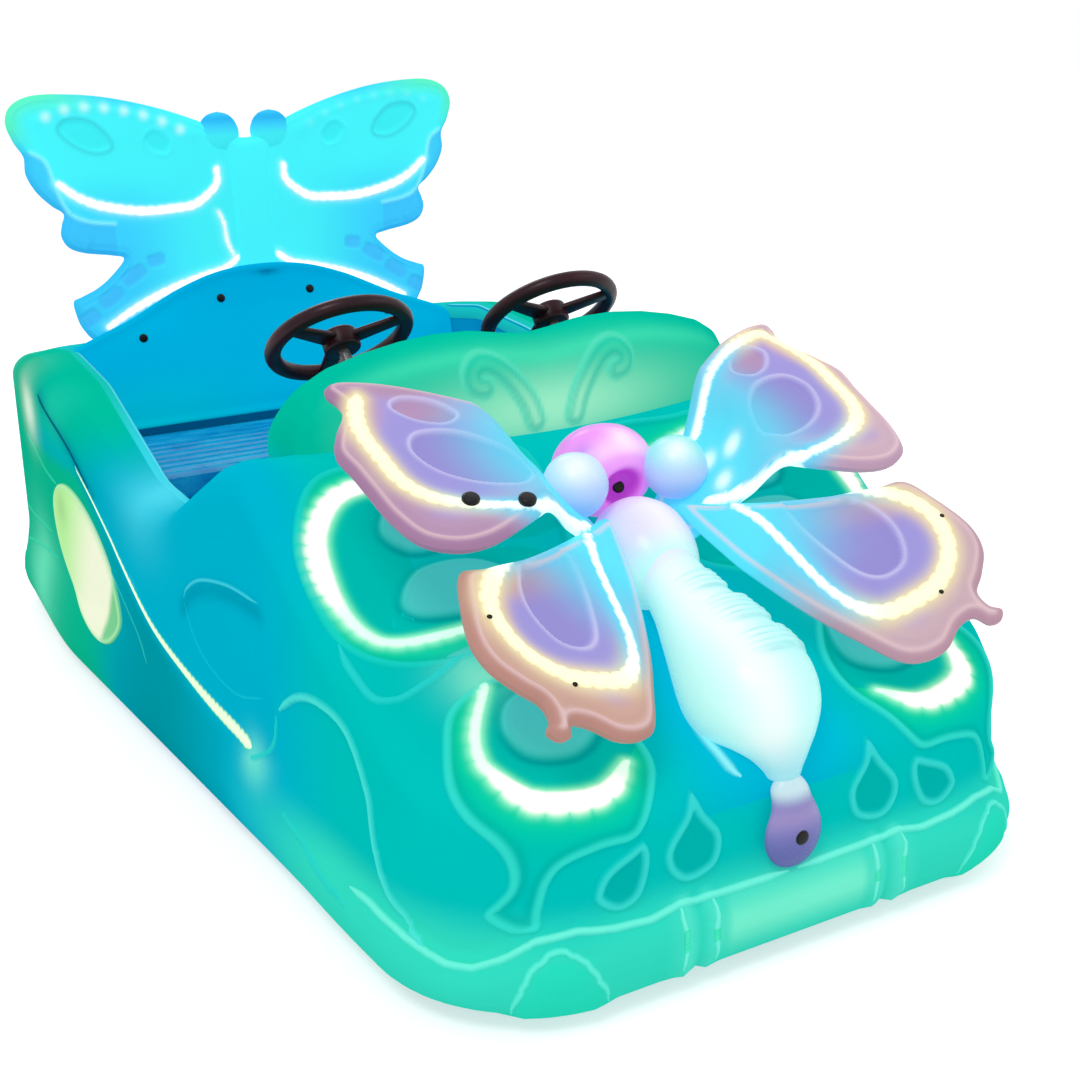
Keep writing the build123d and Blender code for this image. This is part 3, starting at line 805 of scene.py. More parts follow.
keep_in = np.where(shown, 1.0, 0.0)
half_points = flat + normals * (relief * keep_in)[:, None]
half_points = np.clip(half_points, box_low + 0.0005, box_high - 0.0005)
half_points[np.abs(flat[:, 0]) < 1e-6, 0] = 0
half_points = half_points.reshape(column_count, row_count, 3)

flip = np.array([-1, 1, 1])
around = 2 * (column_count - 1)
bpy.ops.mesh.primitive_torus_add(major_segments=around, minor_segments=row_count, major_radius=1,
                                 minor_radius=0.3)
body_skin = bpy.context.object
ring = points_of(body_skin)
turn = np.arctan2(ring[:, 1], ring[:, 0]) % tau
roll = np.arctan2(ring[:, 2], np.hypot(ring[:, 0], ring[:, 1]) - 1) % tau
column_index = np.rint(turn / tau * around).astype(int) % around
row_index = np.rint(roll / tau * row_count).astype(int) % row_count
folded = np.where(column_index < column_count, column_index, around - column_index)
sign = np.where(column_index < column_count, 1.0, -1.0)
skin_points = half_points[folded, row_index] * np.stack([sign, np.ones_like(sign), np.ones_like(sign)], 1)
place_points(body_skin, skin_points)
picked = folded * row_count + row_index
paint.base = paint.base[picked]
paint.glow = paint.glow[picked]
coloured(body_skin, paint)
bpy.ops.object.select_all(action="DESELECT")
smooth(body_skin, 60)
keep(body_skin, "body_skin", "chassis", shell_finish, ("body_shell", "bumper_rim"))

# Plates with rounded edges, for the wings


def plate(outline_points, spacing, thickness, place, relief_of, rim=(0.0015, 0.0035, 0.0065, 0.0105, 0.016)):
    """Points, faces, and chart places of a closed plate with a rounded edge."""
    edge = curve(outline_points, spacing * 0.8, closed=True)
    area = 0.5 * np.sum(edge[:, 0] * np.roll(edge[:, 1], -1) - np.roll(edge[:, 0], -1) * edge[:, 1])
    if area < 0:
        edge = edge[::-1]
    run = np.roll(edge, -1, 0) - np.roll(edge, 1, 0)
    run /= np.linalg.norm(run, axis=1, keepdims=True)
    inward = np.stack([-run[:, 1], run[:, 0]], 1)
    layers = [edge]
    for offset in rim:
        ring_points = edge + inward * offset
        ring_points = ring_points[inside(ring_points, edge)]
        far = distance(ring_points, edge, 0.1, closed=True)
        layers.append(ring_points[far > offset * 0.93])
    low, high = edge.min(0), edge.max(0)
    across, up = np.meshgrid(np.arange(low[0], high[0], spacing), np.arange(low[1], high[1], spacing))
    fill = np.stack([across.ravel(), up.ravel()], 1)
    fill = fill[inside(fill, edge)]
    fill = fill[distance(fill, edge, 0.1, closed=True) > rim[-1] + spacing * 0.5]
    layers.append(fill)
    flat_points = np.concatenate(layers)
    made = geometry.delaunay_2d_cdt(
        [Vector(point) for point in flat_points], [], [list(range(len(edge)))], 1, 1e-6, False)
    chart = np.array([(point.x, point.y) for point in made[0]])
    far = distance(chart, edge, 0.3, closed=True)
    far[far < 1e-5] = 0
    triangles = np.array([tuple(face) for face in made[2]])
    within = inside(chart[triangles].mean(1), edge) & (far[triangles].max(1) > 0)
    triangles = [tuple(int(corner) for corner in face) for face in triangles[within]]
    half = thickness / 2
    round_part = np.clip(far / half, 0, 1)
    lift = half * np.sqrt(np.clip(1 - (1 - round_part) ** 2, 0, 1))
    on_edge = far == 0
    top = place(chart, lift - half + relief_of(chart, far) * (far > 0))
    bottom = place(chart, -lift - half)
    inner = np.nonzero(~on_edge)[0]
    lower_index = np.arange(len(chart))
    lower_index[inner] = len(chart) + np.arange(len(inner))
    points = np.concatenate([top, bottom[inner]])
    faces = list(triangles)
    faces += [tuple(int(lower_index[corner]) for corner in face[::-1]) for face in triangles]
    places = np.concatenate([chart, chart[inner]])
    fars = np.concatenate([far, far[inner]])
    return points, faces, places, fars


def dressed(name, points, faces, tones, finish, angle, nodes=()):
    """A finished piece from points, faces and paint."""
    piece = built(name, points, faces)
    coloured(piece, tones)
    tidy_normals(piece)
    smooth(piece, angle)
    return keep(piece, name, "chassis", finish, nodes)


def both_plates(name, finish, made, paints, nodes=None):
    """The two mirrored pieces of one plate: paints holds the left one's and the right one's."""
    points, faces = made[:2]
    for side, turned, tones in (("left", points, paints[0]), ("right", points * flip, paints[1])):
        dressed(name + "_" + side, turned, faces, tones, finish, 50,
                [nodes + "_" + side] if nodes else ())


# Strips laid on the body: lips, veins and lines with painted highlights on their crests, a groove in painted
# shade, and the bands of lamps, finer than the skin under them
skin_tree = bvhtree.BVHTree.FromPolygons(
    [tuple(point) for point in skin_points], [tuple(polygon.vertices) for polygon in body_skin.data.polygons])
skin_near = kdtree.KDTree(len(skin_points))
for skin_index, skin_point in enumerate(skin_points):
    skin_near.insert(skin_point, skin_index)
skin_near.balance()
ridge_profile = np.array([
    # share of the half width, share of the height
    (-1.0, -0.55), (-0.72, 0.10), (-0.44, 0.62), (-0.18, 0.94), (0.18, 0.94), (0.44, 0.62), (0.72, 0.10),
    (1.0, -0.55), (0.5, -1.2), (-0.5, -1.2)])
band_across = np.linspace(-1, 1, 21)
band_profile = np.concatenate([
    np.stack([band_across, 1.2 * np.cos(band_across * pi / 2) ** 2 - 0.2], 1), [(0.5, -1.2), (-0.5, -1.2)]])


def skin_colours(spot):
    """The body's base colour at a spot, blended from the nearest points."""
    found = skin_near.find_n(spot, 4)
    weights = np.array([1 / (gap + 0.0003) for place, index, gap in found])
    return (paint.base[[index for place, index, gap in found]] * weights[:, None]).sum(0) / weights.sum()


def strip(name, line, half_width, height, profile, step, painted, closed=False, both=True):
    """A soft form laid along a line on the body, in the body's own colours at its edges."""
    if closed:
        line = np.concatenate([line, line[:1]])
    spots = spaced(line, step)
    count = len(spots)
    run = np.roll(spots, -1, 0) - np.roll(spots, 1, 0) if closed else np.gradient(spots, axis=0)
    run /= np.linalg.norm(run, axis=1, keepdims=True)
    rows = []
    base = []
    for index in range(count):
        place, normal = skin_tree.find_nearest(spots[index])[:2]
        side = np.cross(np.array(normal), run[index])
        side /= np.linalg.norm(side)
        taper = 1.0 if closed else min(1.0, 0.25 + min(index, count - 1 - index) / 8)
        for across, up in profile:
            there, out = skin_tree.find_nearest(np.array(place) + side * across * half_width * taper)[:2]
            rows.append(np.array(there) + np.array(out) * up * height * taper)
            base.append(skin_colours(there))
    points = np.array(rows)
    ring = len(profile)
    faces = []
    for index in range(count if closed else count - 1):
        after = (index + 1) % count
        for across in range(ring):
            following = (across + 1) % ring
            faces.append((index * ring + across, index * ring + following, after * ring + following,
                          after * ring + across))
    if not closed:
        faces += [tuple(range(ring)), tuple(range((count - 1) * ring, count * ring))]
    tones = Paint(len(points), (0, 0, 0))
    tones.base = np.array(base)
    painted(tones, np.tile(profile[:, 0] * half_width, count), np.repeat(np.arange(count) * step, ring),
            np.tile(np.clip(profile[:, 1], 0, 1) ** 1.5, count))
    for side, mirror in (("right", -1), ("left", 1))[:2 if both else 1]:
        turned = points * np.array([mirror, 1, 1])
        dressed(name + "_" + side, turned, faces, tones, shell_finish, 70)


# Paints a tone on a strip's crest: a painted highlight on the light lips, veins and lines, painted shade on
# the dark arm groove, and the light that leaks out beside the abdomen
def crest_light_and_shade(tone):
    def painted(tones, across, run, crest):
        tones.over(tone * shell_base, crest * 0.9)
        tones.glow = tones.base / shell_base * shell_glow
    return painted


def band_paint(look):
    def painted(tones, across, run, crest):
        tones.glow = tones.base / shell_base * shell_glow
        tones.base /= shell_base
        glow_band(tones, np.abs(across), np.sign(across), run, look)
        tones.base *= shell_base
    return painted


rim_s = np.linspace(0.004, 0.66, 140)
rim_place = along(outline, outline_s, rim_s)[0]
rim_z = np.interp(rim_s, rim_line[:, 0], rim_line[:, 1])
rim_edge = np.stack([rim_place[:, 0], rim_place[:, 1], rim_z - 0.004], 1)
mound_s = np.linspace(0.270, 0.386, 40)
mound_place = along(outline, outline_s, mound_s)[0]
mound_z = skirt_z + (mound_top - skirt_z) * (1 - ((mound_s - 0.328) / 0.060) ** 2)
mound_edge = np.stack([mound_place[:, 0], mound_place[:, 1], mound_z], 1)
joint_edges = []
for joint in (0.124, 0.167):
    joint_place = along(outline, outline_s, np.full(12, joint))[0]
    joint_edges.append(np.stack([joint_place[:, 0], joint_place[:, 1], np.linspace(0.045, 0.128, 12)], 1))
wing_crease = curve(mm((548, 250, 330), (546, 160, 262), (544, 60, 196), (540, 0, 160)))
tub_line_y = np.linspace(-0.02, 0.86, 60)
tub_line = np.stack([np.full(60, 0.443), tub_line_y, top_height(tub_line_y)], 1)
ridge_rows = [
    # name, line, half width, height, tone painted on the crest (a painted highlight on the light strips,
    # painted shade on the groove), closed
    ("upper_lobe_lip", upper_lobe, 0.0095, 0.0040, colour(40, 215, 210), False),
    ("corner_lip", teardrop, 0.0095, 0.0048, colour(80, 232, 222), False),
    ("corner_low_lip", teardrop_low, 0.0080, 0.0025, colour(40, 215, 205), False),
    ("rim_lip", rim_edge, 0.0085, 0.0042, colour(120, 250, 228), False),
    ("mound_lip", mound_edge, 0.0070, 0.0036, colour(100, 246, 224), False),
    ("inner_joint", joint_edges[0], 0.0070, 0.0040, colour(125, 250, 228), False),
    ("outer_joint", joint_edges[1], 0.0070, 0.0040, colour(125, 250, 228), False),
    ("scoop_lip", swooshes[0], 0.0050, 0.0022, colour(70, 214, 232), False),
    ("scoop_low_lip", swooshes[1], 0.0040, 0.0014, colour(20, 196, 214), False),
    ("top_vein", veins[0], 0.0050, 0.0026, colour(60, 220, 180), False),
    ("middle_vein", veins[1], 0.0050, 0.0026, colour(60, 220, 180), False),
    ("low_vein", veins[2], 0.0050, 0.0026, colour(60, 220, 180), False),
    # Painted shade: a dark navy line standing for the shade in the groove by the arm rest
    ("arm_groove", groove, 0.0095, 0.0018, colour(0, 58, 104), False),
    ("tub_line", tub_line, 0.0040, 0.0014, colour(120, 234, 246), False),
    ("wing_crease", wing_crease, 0.0035, 0.0014, colour(60, 206, 190), False),
]
for name, line, half_width, height, tone, closed in ridge_rows:
    strip(name, line, half_width, height, ridge_profile, 0.005, crest_light_and_shade(tone), closed)
strip("valley_glow", valley, 0.014, 0.0012, band_profile, 0.004, crest_light_and_shade(colour(150, 248, 255)), both=False)
strip("flank_lamps", flank_lamps, 0.016, 0.0025, band_profile, 0.0024, band_paint(flank_look))

# Butterfly wings moulded on the bonnet: shallow plates, with outlines seen from the front and above
view_fall = 0.7
base_faces = [
    (column * row_count + row, (column + 1) * row_count + row, (column + 1) * row_count + row + 1,
     column * row_count + row + 1)
    for column in range(column_count - 1) for row in range(outer_rows)]
base_tree = bvhtree.BVHTree.FromPolygons([tuple(point) for point in flat], base_faces)


def charted(line):
    return np.stack([line[:, 0], line[:, 2] + view_fall * (line[:, 1] + 1.01)], 1)


def bonnet_place(chart, lift):
    """Puts chart points on the plain bonnet, raised by lift along its normal."""
    ray = Vector((0, 1, -view_fall)).normalized()
    placed = []
    for (across, up), raised in zip(chart, lift):
        hit, normal, face, gap = base_tree.ray_cast((across, -2.01, up + view_fall), ray)
        if hit is None:
            hit, normal, face, gap = base_tree.find_nearest((across, -0.97, up - view_fall * 0.04))
        corners = base_faces[face]
        weights = interpolate.poly_3d_calc([Vector(flat[corner]) for corner in corners], hit)
        direction = sum(weight * normals[corner] for weight, corner in zip(weights, corners))
        placed.append(np.array(hit) + direction / np.linalg.norm(direction) * raised)
    return np.array(placed)


def moulded_relief(line, ovals):
    def relief_of(chart, far):
        height = 0.0016 + 0.0040 * bell(far - 0.0085, 0.0045)
        if line is not None:
            height = height + 0.0036 * bell(distance(chart, line), 0.020)
        for oval in ovals:
            gap = distance(chart, oval, 0.1, closed=True)
            within = inside(chart, oval)
            height = height + 0.0050 * ease(gap * within, 0.0, 0.020) - 0.0016 * bell(gap, 0.005)
        return height
    return relief_of


def moulded_paint(points, places, far, line, look, ovals, lip_highlight):
    tones = Paint(len(places), (0, 0, 0))
    tones.base = np.array([skin_colours(spot) for spot in points]) / shell_base
    field = ease(far, 0.006, 0.018)
    gap, side, along_line = follow(places, line)
    outer = side * look["outer"] > 0
    tones.over(colour(0, 204, 160), field * outer * bell(gap, 0.06) * 0.9)
    tones.over(colour(0, 186, 172), field * ~outer * 0.75)
    tones.over(colour(0, 176, 160), bell(far - 0.018, 0.006) * 0.5)
    for oval in ovals:
        ring_gap = distance(places, oval, 0.1, closed=True)
        within = inside(places, oval)
        low_side = ease(oval[:, 1].mean() - places[:, 1], -0.02, 0.05)
        tones.over(colour(84, 206, 204), ease(ring_gap * within, 0.0, 0.016) * 0.85)
        # Painted shade round each raised oval, heaviest along its lower side, and a painted highlight inside
        # its upper rim
        tones.over(colour(0, 158, 158), bell(ring_gap, 0.006) * (0.25 + 0.6 * low_side))
        tones.over(colour(90, 225, 220), bell(ring_gap - 0.008, 0.003) * within * (1 - low_side) * 0.5)
    tones.glow = tones.base * shell_glow
    glow_band(tones, gap, side, along_line, look)
    # Painted highlight along the raised lip
    lip = bell(far - 0.0085, 0.0040)
    tones.over(lip_highlight, lip * 0.85)
    tones.glow = np.maximum(tones.glow, tones.base * shell_glow)
    tones.base *= shell_base
    return tones


moulded_rows = [
    # name, outline, lamps, look, ovals, tone of the lip's painted highlight
    ("bonnet_upper_wing", upper_pad, upper_lamps, upper_look, upper_ovals, colour(30, 214, 200)),
    ("bonnet_lower_wing", lower_pad, lower_lamps, lower_look, [lower_oval], colour(60, 232, 214)),
]
for name, pad, line, look, ovals, lip_highlight in moulded_rows:
    pad_line, oval_lines = charted(line), [charted(oval) for oval in ovals]
    made = plate(charted(pad)[::3], 0.0030, 0.012, bonnet_place, moulded_relief(pad_line, oval_lines))
    tones = moulded_paint(made[0], made[2], made[3], pad_line, look, oval_lines, lip_highlight)
    both_plates(name, shell_finish, made, (tones, tones))
for name, drop in (("bonnet_drop", drops[0]), ("bonnet_small_drop", drops[1])):
    drop_line = charted(drop)
    drop_line = drop_line.mean(0) + (drop_line - drop_line.mean(0)) * 1.10
    made = plate(drop_line[::3], 0.0026, 0.012, bonnet_place, moulded_relief(None, []))
    tones = Paint(len(made[0]), (0, 0, 0))
    tones.base = np.array([skin_colours(spot) for spot in made[0]]) / shell_base
    # Painted shade in the drop's field, so that it reads as sunk, and a painted highlight along its raised
    # lip
    tones.over(colour(0, 178, 172), ease(made[3], 0.008, 0.020) * 0.85)
    tones.over(colour(70, 230, 222), bell(made[3] - 0.0085, 0.0032) * 0.85)
    tones.shine(shell_glow, shell_base)
    both_plates(name, shell_finish, made, (tones, tones))

# Side lamps: glowing oval windows in the flanks, with a rim
lamp_low, lamp_high = (np.array(corner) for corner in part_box("side_lamp_left"))
lamp_middle = ((lamp_low + lamp_high) / 2)[1:]
lamp_turn = radians(25)
lamp_angle = np.linspace(0, tau, 64, endpoint=False)
lamp_outline = lamp_middle + np.stack([
    0.190 * np.cos(lamp_angle) * cos(lamp_turn) - 0.105 * np.sin(lamp_angle) * sin(lamp_turn),
    0.190 * np.cos(lamp_angle) * sin(lamp_turn) + 0.105 * np.sin(lamp_angle) * cos(lamp_turn)], 1)


def flank_place(chart, lift):
    """Puts chart points of y and z on the plain flank, raised by lift along its normal."""
    placed = []
    for (behind, up), raised in zip(chart, lift):
        hit, normal, face, gap = base_tree.ray_cast((1.0, behind, up), (-1, 0, 0))
        if hit is None:
            hit, normal, face, gap = base_tree.find_nearest((0.55, behind, up))
        direction = np.array(normal) if normal[0] > 0 else -np.array(normal)
        placed.append(np.array(hit) + direction * raised)
    return np.array(placed)


def window_relief(chart, far):
    return 0.0040 + 0.0020 * bell(far - 0.006, 0.003) + 0.0015 * ease(far, 0.012, 0.05)


made = plate(lamp_outline, 0.0035, 0.012, flank_place, window_relief)
places, far = made[2], made[3]
tones = Paint(len(places), colour(250, 255, 226))
forward_gap, below_gap = (lamp_middle - places).T
forward_share = forward_gap * cos(lamp_turn) + below_gap * sin(lamp_turn)
tones.over(colour(190, 250, 165), 1 - ease(forward_share, -0.13, 0.05))
tones.over(colour(172, 222, 150),
           bell(np.linalg.norm(places - lamp_middle - mm((118, 74))[0], axis=1), 0.035) * 0.8)
tones.over(colour(128, 212, 150), ease(forward_share, 0.125, 0.150))
tones.over(colour(190, 246, 190), bell(far - 0.006, 0.0035) * 0.8)
tones.over(colour(16, 186, 150), 1 - ease(far, 0.0, 0.003))
tones.shine(0.55, 0.5)
both_plates("window", shell_finish, made, (tones, tones), "side_lamp")

# Front butterfly's wings: outlines seen from above, on the planes that the CAD has


def upper_place(chart, lift):
    across, forward = chart.T
    drop = np.maximum(0, 0.19 - across)
    drop = drop * ease(drop, -0.02, 0.05)
    height = 0.414 * forward + 0.887 - drop
    normal = np.array([0, -0.414, 1]) / np.hypot(0.414, 1)
    return np.stack([across, forward, height], 1) + lift[:, None] * normal


def lower_place(chart, lift):
    across, forward = chart.T
    normal = np.array([-0.37, -0.625, 1])
    normal = normal / np.linalg.norm(normal)
    return np.stack([across, forward, 0.37 * across + 0.625 * forward + 0.920], 1) + lift[:, None] * normal


upper_wing = mm(
    (52, -700), (52, -630), (114, -604), (185, -550), (262, -498), (318, -474), (350, -470), (364, -486),
    (357, -512),
    (360, -536), (384, -572), (401, -610), (396, -650), (392, -690), (386, -740), (368, -785), (330, -808),
    (285, -808), (235, -790), (180, -765), (110, -730))
lower_wing = mm(
    (52, -692), (100, -716), (150, -745), (220, -782), (290, -810), (332, -824), (352, -862), (368, -915),
    (362, -950), (338, -974), (318, -988), (319, -1008), (330, -1021), (318, -1031), (303, -1026),
    (292, -1010),
    (268, -1010), (238, -1022), (205, -1018), (178, -1000), (150, -955), (120, -902), (92, -840), (70, -780))


def wing_relief(line, ovals):
    """A stepped border with a ridge, a swelling over the lamps, and sunk teardrops."""
    def relief_of(chart, far):
        height = 0.0040 * ease(far, 0.017, 0.023) + 0.0022 * bell(far - 0.0115, 0.0028)
        height = height + 0.0030 * bell(distance(chart, line), 0.011)
        for oval in ovals:
            gap = distance(chart, oval, 0.1, closed=True)
            height = height - 0.0050 * ease(gap * inside(chart, oval), 0.0, 0.007) + 0.0016 * bell(gap, 0.003)
        return height - 0.0040
    return relief_of


upper_wing_lamps = curve(mm(
    (128, -620), (180, -580), (232, -542), (285, -514), (322, -506), (345, -540), (358, -590), (356, -640),
    (350, -690),
    (328, -726), (288, -750), (240, -765), (195, -768), (155, -752), (120, -726), (92, -700)))
upper_start = int(np.argmin(np.linalg.norm(upper_wing_lamps - np.array([0.335, -0.520]), axis=1)))
upper_wing_ovals = [
    curve(mm((220, -582), (240, -550), (280, -532), (300, -548), (280, -580), (245, -596)), 0.004,
          closed=True),
    curve(mm((180, -690), (200, -650), (240, -614), (290, -606), (312, -635), (298, -680), (258, -714),
             (205, -730),
             (180, -716)), 0.004, closed=True),
]
lower_wing_lamps = curve(mm(
    (205, -762), (262, -798), (305, -838), (327, -875), (326, -912), (308, -940), (275, -957), (235, -958),
    (195, -950),
    (168, -925), (152, -890), (144, -850), (138, -810), (130, -772), (115, -735)))
lower_wing_ovals = [
    curve(mm((172, -762), (205, -777), (250, -808), (272, -845), (275, -882), (258, -912), (225, -915),
             (200, -895),
             (182, -850), (170, -800)), 0.004, closed=True),
]


def wing_paint(places, far, line, ovals, root, tan_from, spots, tan, rim_tone):
    """Lilac wings with tan borders, cream lamp bands and cyan roots."""
    tones = Paint(len(places), mauve)
    tones.over(lilac, ease(far, 0.03, 0.07) * 0.7)
    away = np.linalg.norm(places - root, axis=1)
    outward = ease(away, tan_from, tan_from + 0.10)
    tones.over(tan, (1 - ease(far, 0.026, 0.060)) * outward * 0.95)
    tones.over(rim_tone, (1 - ease(far, 0.004, 0.012)) * outward * 0.75)
    for oval in ovals:
        gap = distance(places, oval, 0.1, closed=True)
        within = ease(gap * inside(places, oval), 0.0, 0.008)
        tones.over(colour(146, 138, 206), within * (0.85 - 0.3 * outward))
        tones.over(colour(186, 148, 180), within * ease(places[:, 1], -0.62, -0.56) * 0.8)
        tones.over(colour(212, 206, 244), bell(gap, 0.0030) * 0.75)
    tones.over(root_cyan, (1 - ease(away, 0.10, 0.25)) * 0.9)
    tones.over(colour(232, 200, 205), bell(far - 0.0115, 0.0024) * 0.8)
    gap, side, along_line = follow(places, line)
    warm = ease(away, 0.20, 0.30)[:, None]
    turn = (along_line / 0.019) % 1 * 2 - 1
    bump = np.sqrt(np.clip(1 - turn * turn, 0, 1))
    half = 0.0052 + 0.0040 * warm[:, 0]
    edge = half * (0.82 + 0.34 * bump)
    halo = bell(np.maximum(gap - half, 0), 0.012)[:, None]
    heart = (1 - ease(gap / edge, 0.70, 1.25))[:, None]
    halo_tone = colour(100, 220, 250) * (1 - warm) + colour(242, 224, 178) * warm
    core_tone = colour(225, 255, 252) * (1 - warm) + colour(253, 250, 196) * warm
    tones.base += (halo_tone - tones.base) * halo * 0.8
    tones.base += (core_tone - tones.base) * heart
    tones.glow = np.maximum(halo_tone * halo * 0.34, core_tone * heart * 0.74)
    if len(spots):
        lamp_dots(tones, places, spots, colour(205, 255, 250), 0.011, 0.9)
    tones.lit(root_cyan, (1 - ease(away, 0.08, 0.2)) * 0.40)
    tones.glow = np.maximum(tones.glow, tones.base * 0.32)
    tones.base *= 0.76
    return tones


upper_spots = mm((96, -640), (122, -660), (150, -678), (120, -700))
no_spots = mm()
wing_rows = [
    # name, outline, place, ovals, root, where the tan begins, then for the left and the right wing:
    # lamps, root lamps, tones inside and outside the border's ridge
    ("upper_wing", upper_wing, upper_place, upper_wing_ovals, (0.05, -0.665), 0.17, (
        (upper_wing_lamps, upper_spots, colour(206, 176, 190), colour(182, 146, 176)),
        (upper_wing_lamps[upper_start:], no_spots, colour(184, 148, 178), colour(160, 118, 156)))),
    ("lower_wing", lower_wing, lower_place, lower_wing_ovals, (0.05, -0.715), 0.12, (
        (lower_wing_lamps, no_spots, colour(206, 176, 184), colour(184, 140, 160)),
        (lower_wing_lamps, no_spots, colour(206, 166, 148), colour(180, 128, 120)))),
]
for name, wing_outline, wing_place, ovals, root, tan_from, sides in wing_rows:
    made = plate(wing_outline, 0.0030, 0.026, wing_place, wing_relief(sides[0][0], ovals))
    paints = [wing_paint(made[2], made[3], line, ovals, np.array(root), tan_from, spots, inner_tone, rim_tone)
              for line, spots, inner_tone, rim_tone in sides]
    both_plates(name + "_skin", wing_finish, made, paints, name)

# Butterfly body: turned forms lying along the bonnet


def turned_form(name, profile, place, segments=72, detail=None):
    """A closed form turned about its own Z, from rows of radius and height in millimetres."""
    line = curve(mm(*profile), 0.004)
    line[:, 0] = np.maximum(line[:, 0], 0)
    line[0, 0] = line[-1, 0] = 0
    count = len(line) - 2
    bpy.ops.mesh.primitive_uv_sphere_add(segments=segments, ring_count=count + 1, radius=1)
    piece = bpy.context.object
    ball = points_of(piece)
    ring_at = np.rint((1 - np.arccos(np.clip(ball[:, 2], -1, 1)) / pi) * (count + 1)).astype(int)
    angle = np.arctan2(ball[:, 1], ball[:, 0])
    radius = line[ring_at, 0]
    height = line[ring_at, 1]
    if detail is not None:
        radius = radius + detail(angle, height) * (radius > 0.001)
    points = np.stack([radius * np.cos(angle), radius * np.sin(angle), height], 1)
    matrix = np.array(place)
    place_points(piece, points @ matrix[:3, :3].T + matrix[:3, 3])
    piece.select_set(False)
    smooth(piece, 60)
    return piece, points


def laid(y_place, z_place, slope=29.0):
    """Lies along the bonnet: the form's +Z points to the front and down."""
    tipped = Matrix.Translation((0, y_place, z_place)) @ Matrix.Rotation(radians(slope), 4, "X")
    return tipped @ Matrix.Rotation(radians(90), 4, "X")


rib_groups = ((-0.078, 0.017, 0.0040), (-0.012, 0.024, 0.0060), (0.056, 0.020, 0.0040))


def ribs(angle, height):
    """Three groups of ribs across the abdomen's upper side."""
    bowed = height + 0.012 * np.cos(angle) ** 2
    across = ease(np.sin(angle), -0.2, 0.25) * ease(np.cos(angle), -0.55, 0.05)
    depth = np.zeros(len(height))
    for middle, half, rise in rib_groups:
        group = 1 - ease(np.abs(bowed - middle), half * 0.8, half * 1.25)
        depth += group * (rise + 0.0011 * np.sin((bowed - middle) / 0.0100 * tau))
    return depth * across


def bent(points):
    """Lays the abdomen along the bonnet and bends its end down over the nose."""
    steps = np.linspace(-0.2, 0.2, 401)
    slope = np.radians(29 + 58 * np.clip((steps - 0.100) / 0.090, 0, 1))
    centre_y = np.concatenate([[0], np.cumsum(np.cos(slope[:-1]) * 0.001)])
    centre_z = np.concatenate([[0], np.cumsum(np.sin(slope[:-1]) * 0.001)])
    centre_y = -0.862 - (centre_y - centre_y[200])
    centre_z = 0.362 - (centre_z - centre_z[200])
    y_here = np.interp(points[:, 2], steps, centre_y)
    z_here = np.interp(points[:, 2], steps, centre_z)
    tilt = np.interp(points[:, 2], steps, slope)
    return np.stack([points[:, 0], y_here - np.sin(tilt) * points[:, 1],
                     z_here + np.cos(tilt) * points[:, 1]], 1)


abdomen, form = turned_form("abdomen_skin", [
    (0, -172), (26, -170), (40, -150), (45, -115), (50, -80), (60, -42), (70, -5), (81, 35), (86, 68),
    (83, 98),
    (70, 124), (53, 145), (38, 162), (27, 178), (20, 190), (0, 192)], Matrix.Identity(4), 112, ribs)
place_points(abdomen, bent(form))
tones = Paint(len(form), ice)
upper_side = ease(form[:, 1], -0.01, 0.04)
tones.over(colour(255, 255, 255), bell(form[:, 0] + 0.030, 0.035) * upper_side * 0.7)
for middle, half, rise in rib_groups:
    lined = form[:, 2] + 0.012 * (form[:, 0] / 0.08) ** 2 - middle
    group = 1 - ease(np.abs(lined), half * 0.9, half * 1.2)
    # Painted shade in the troughs between the ribs, and in a line just past each group
    tones.over(colour(120, 214, 222), group * (0.5 - 0.5 * np.sin(lined / 0.0100 * tau)) ** 2
               * ease(form[:, 0], -0.035, 0.0) * upper_side * 0.6)
    tones.over(colour(120, 205, 220),
               bell(lined - half * 1.15, 0.004) * ease(form[:, 0], -0.03, 0.01) * upper_side * 0.5)
tones.over(colour(170, 250, 246),
           ease(form[:, 0], -0.01, 0.05) * upper_side * bell(form[:, 2] - 0.03, 0.09) * 0.5)
tones.over(pearl, (1 - ease(form[:, 2], -0.16, -0.09)) * 0.8)
tones.over(colour(120, 225, 245), ease(-form[:, 1], -0.01, 0.05) * 0.7)
tones.over(colour(150, 225, 240), ease(form[:, 2], 0.135, 0.185) * 0.8)
tones.shine(0.40, 0.72)
coloured(abdomen, tones)
keep(abdomen, "abdomen_skin", "chassis", body_finish, ["butterfly_abdomen"])

thorax, form = turned_form("thorax_skin", [
    (0, -60), (24, -57), (43, -46), (58, -26), (68, 0), (68, 38), (57, 72), (40, 90), (0, 98)],
    laid(-0.668, 0.452), 80)
tones = Paint(len(form), pearl)
tones.over(pink, (1 - ease(form[:, 2], -0.07, 0.0)) * 0.6)
tones.over(colour(255, 255, 255), bell(form[:, 0] - 0.01, 0.03) * ease(form[:, 1], 0.0, 0.05) * 0.6)
tones.over(ice, ease(form[:, 2], 0.03, 0.09))
tones.shine(0.32, 0.78)
coloured(thorax, tones)
keep(thorax, "thorax_skin", "chassis", body_finish, ["butterfly_thorax"])

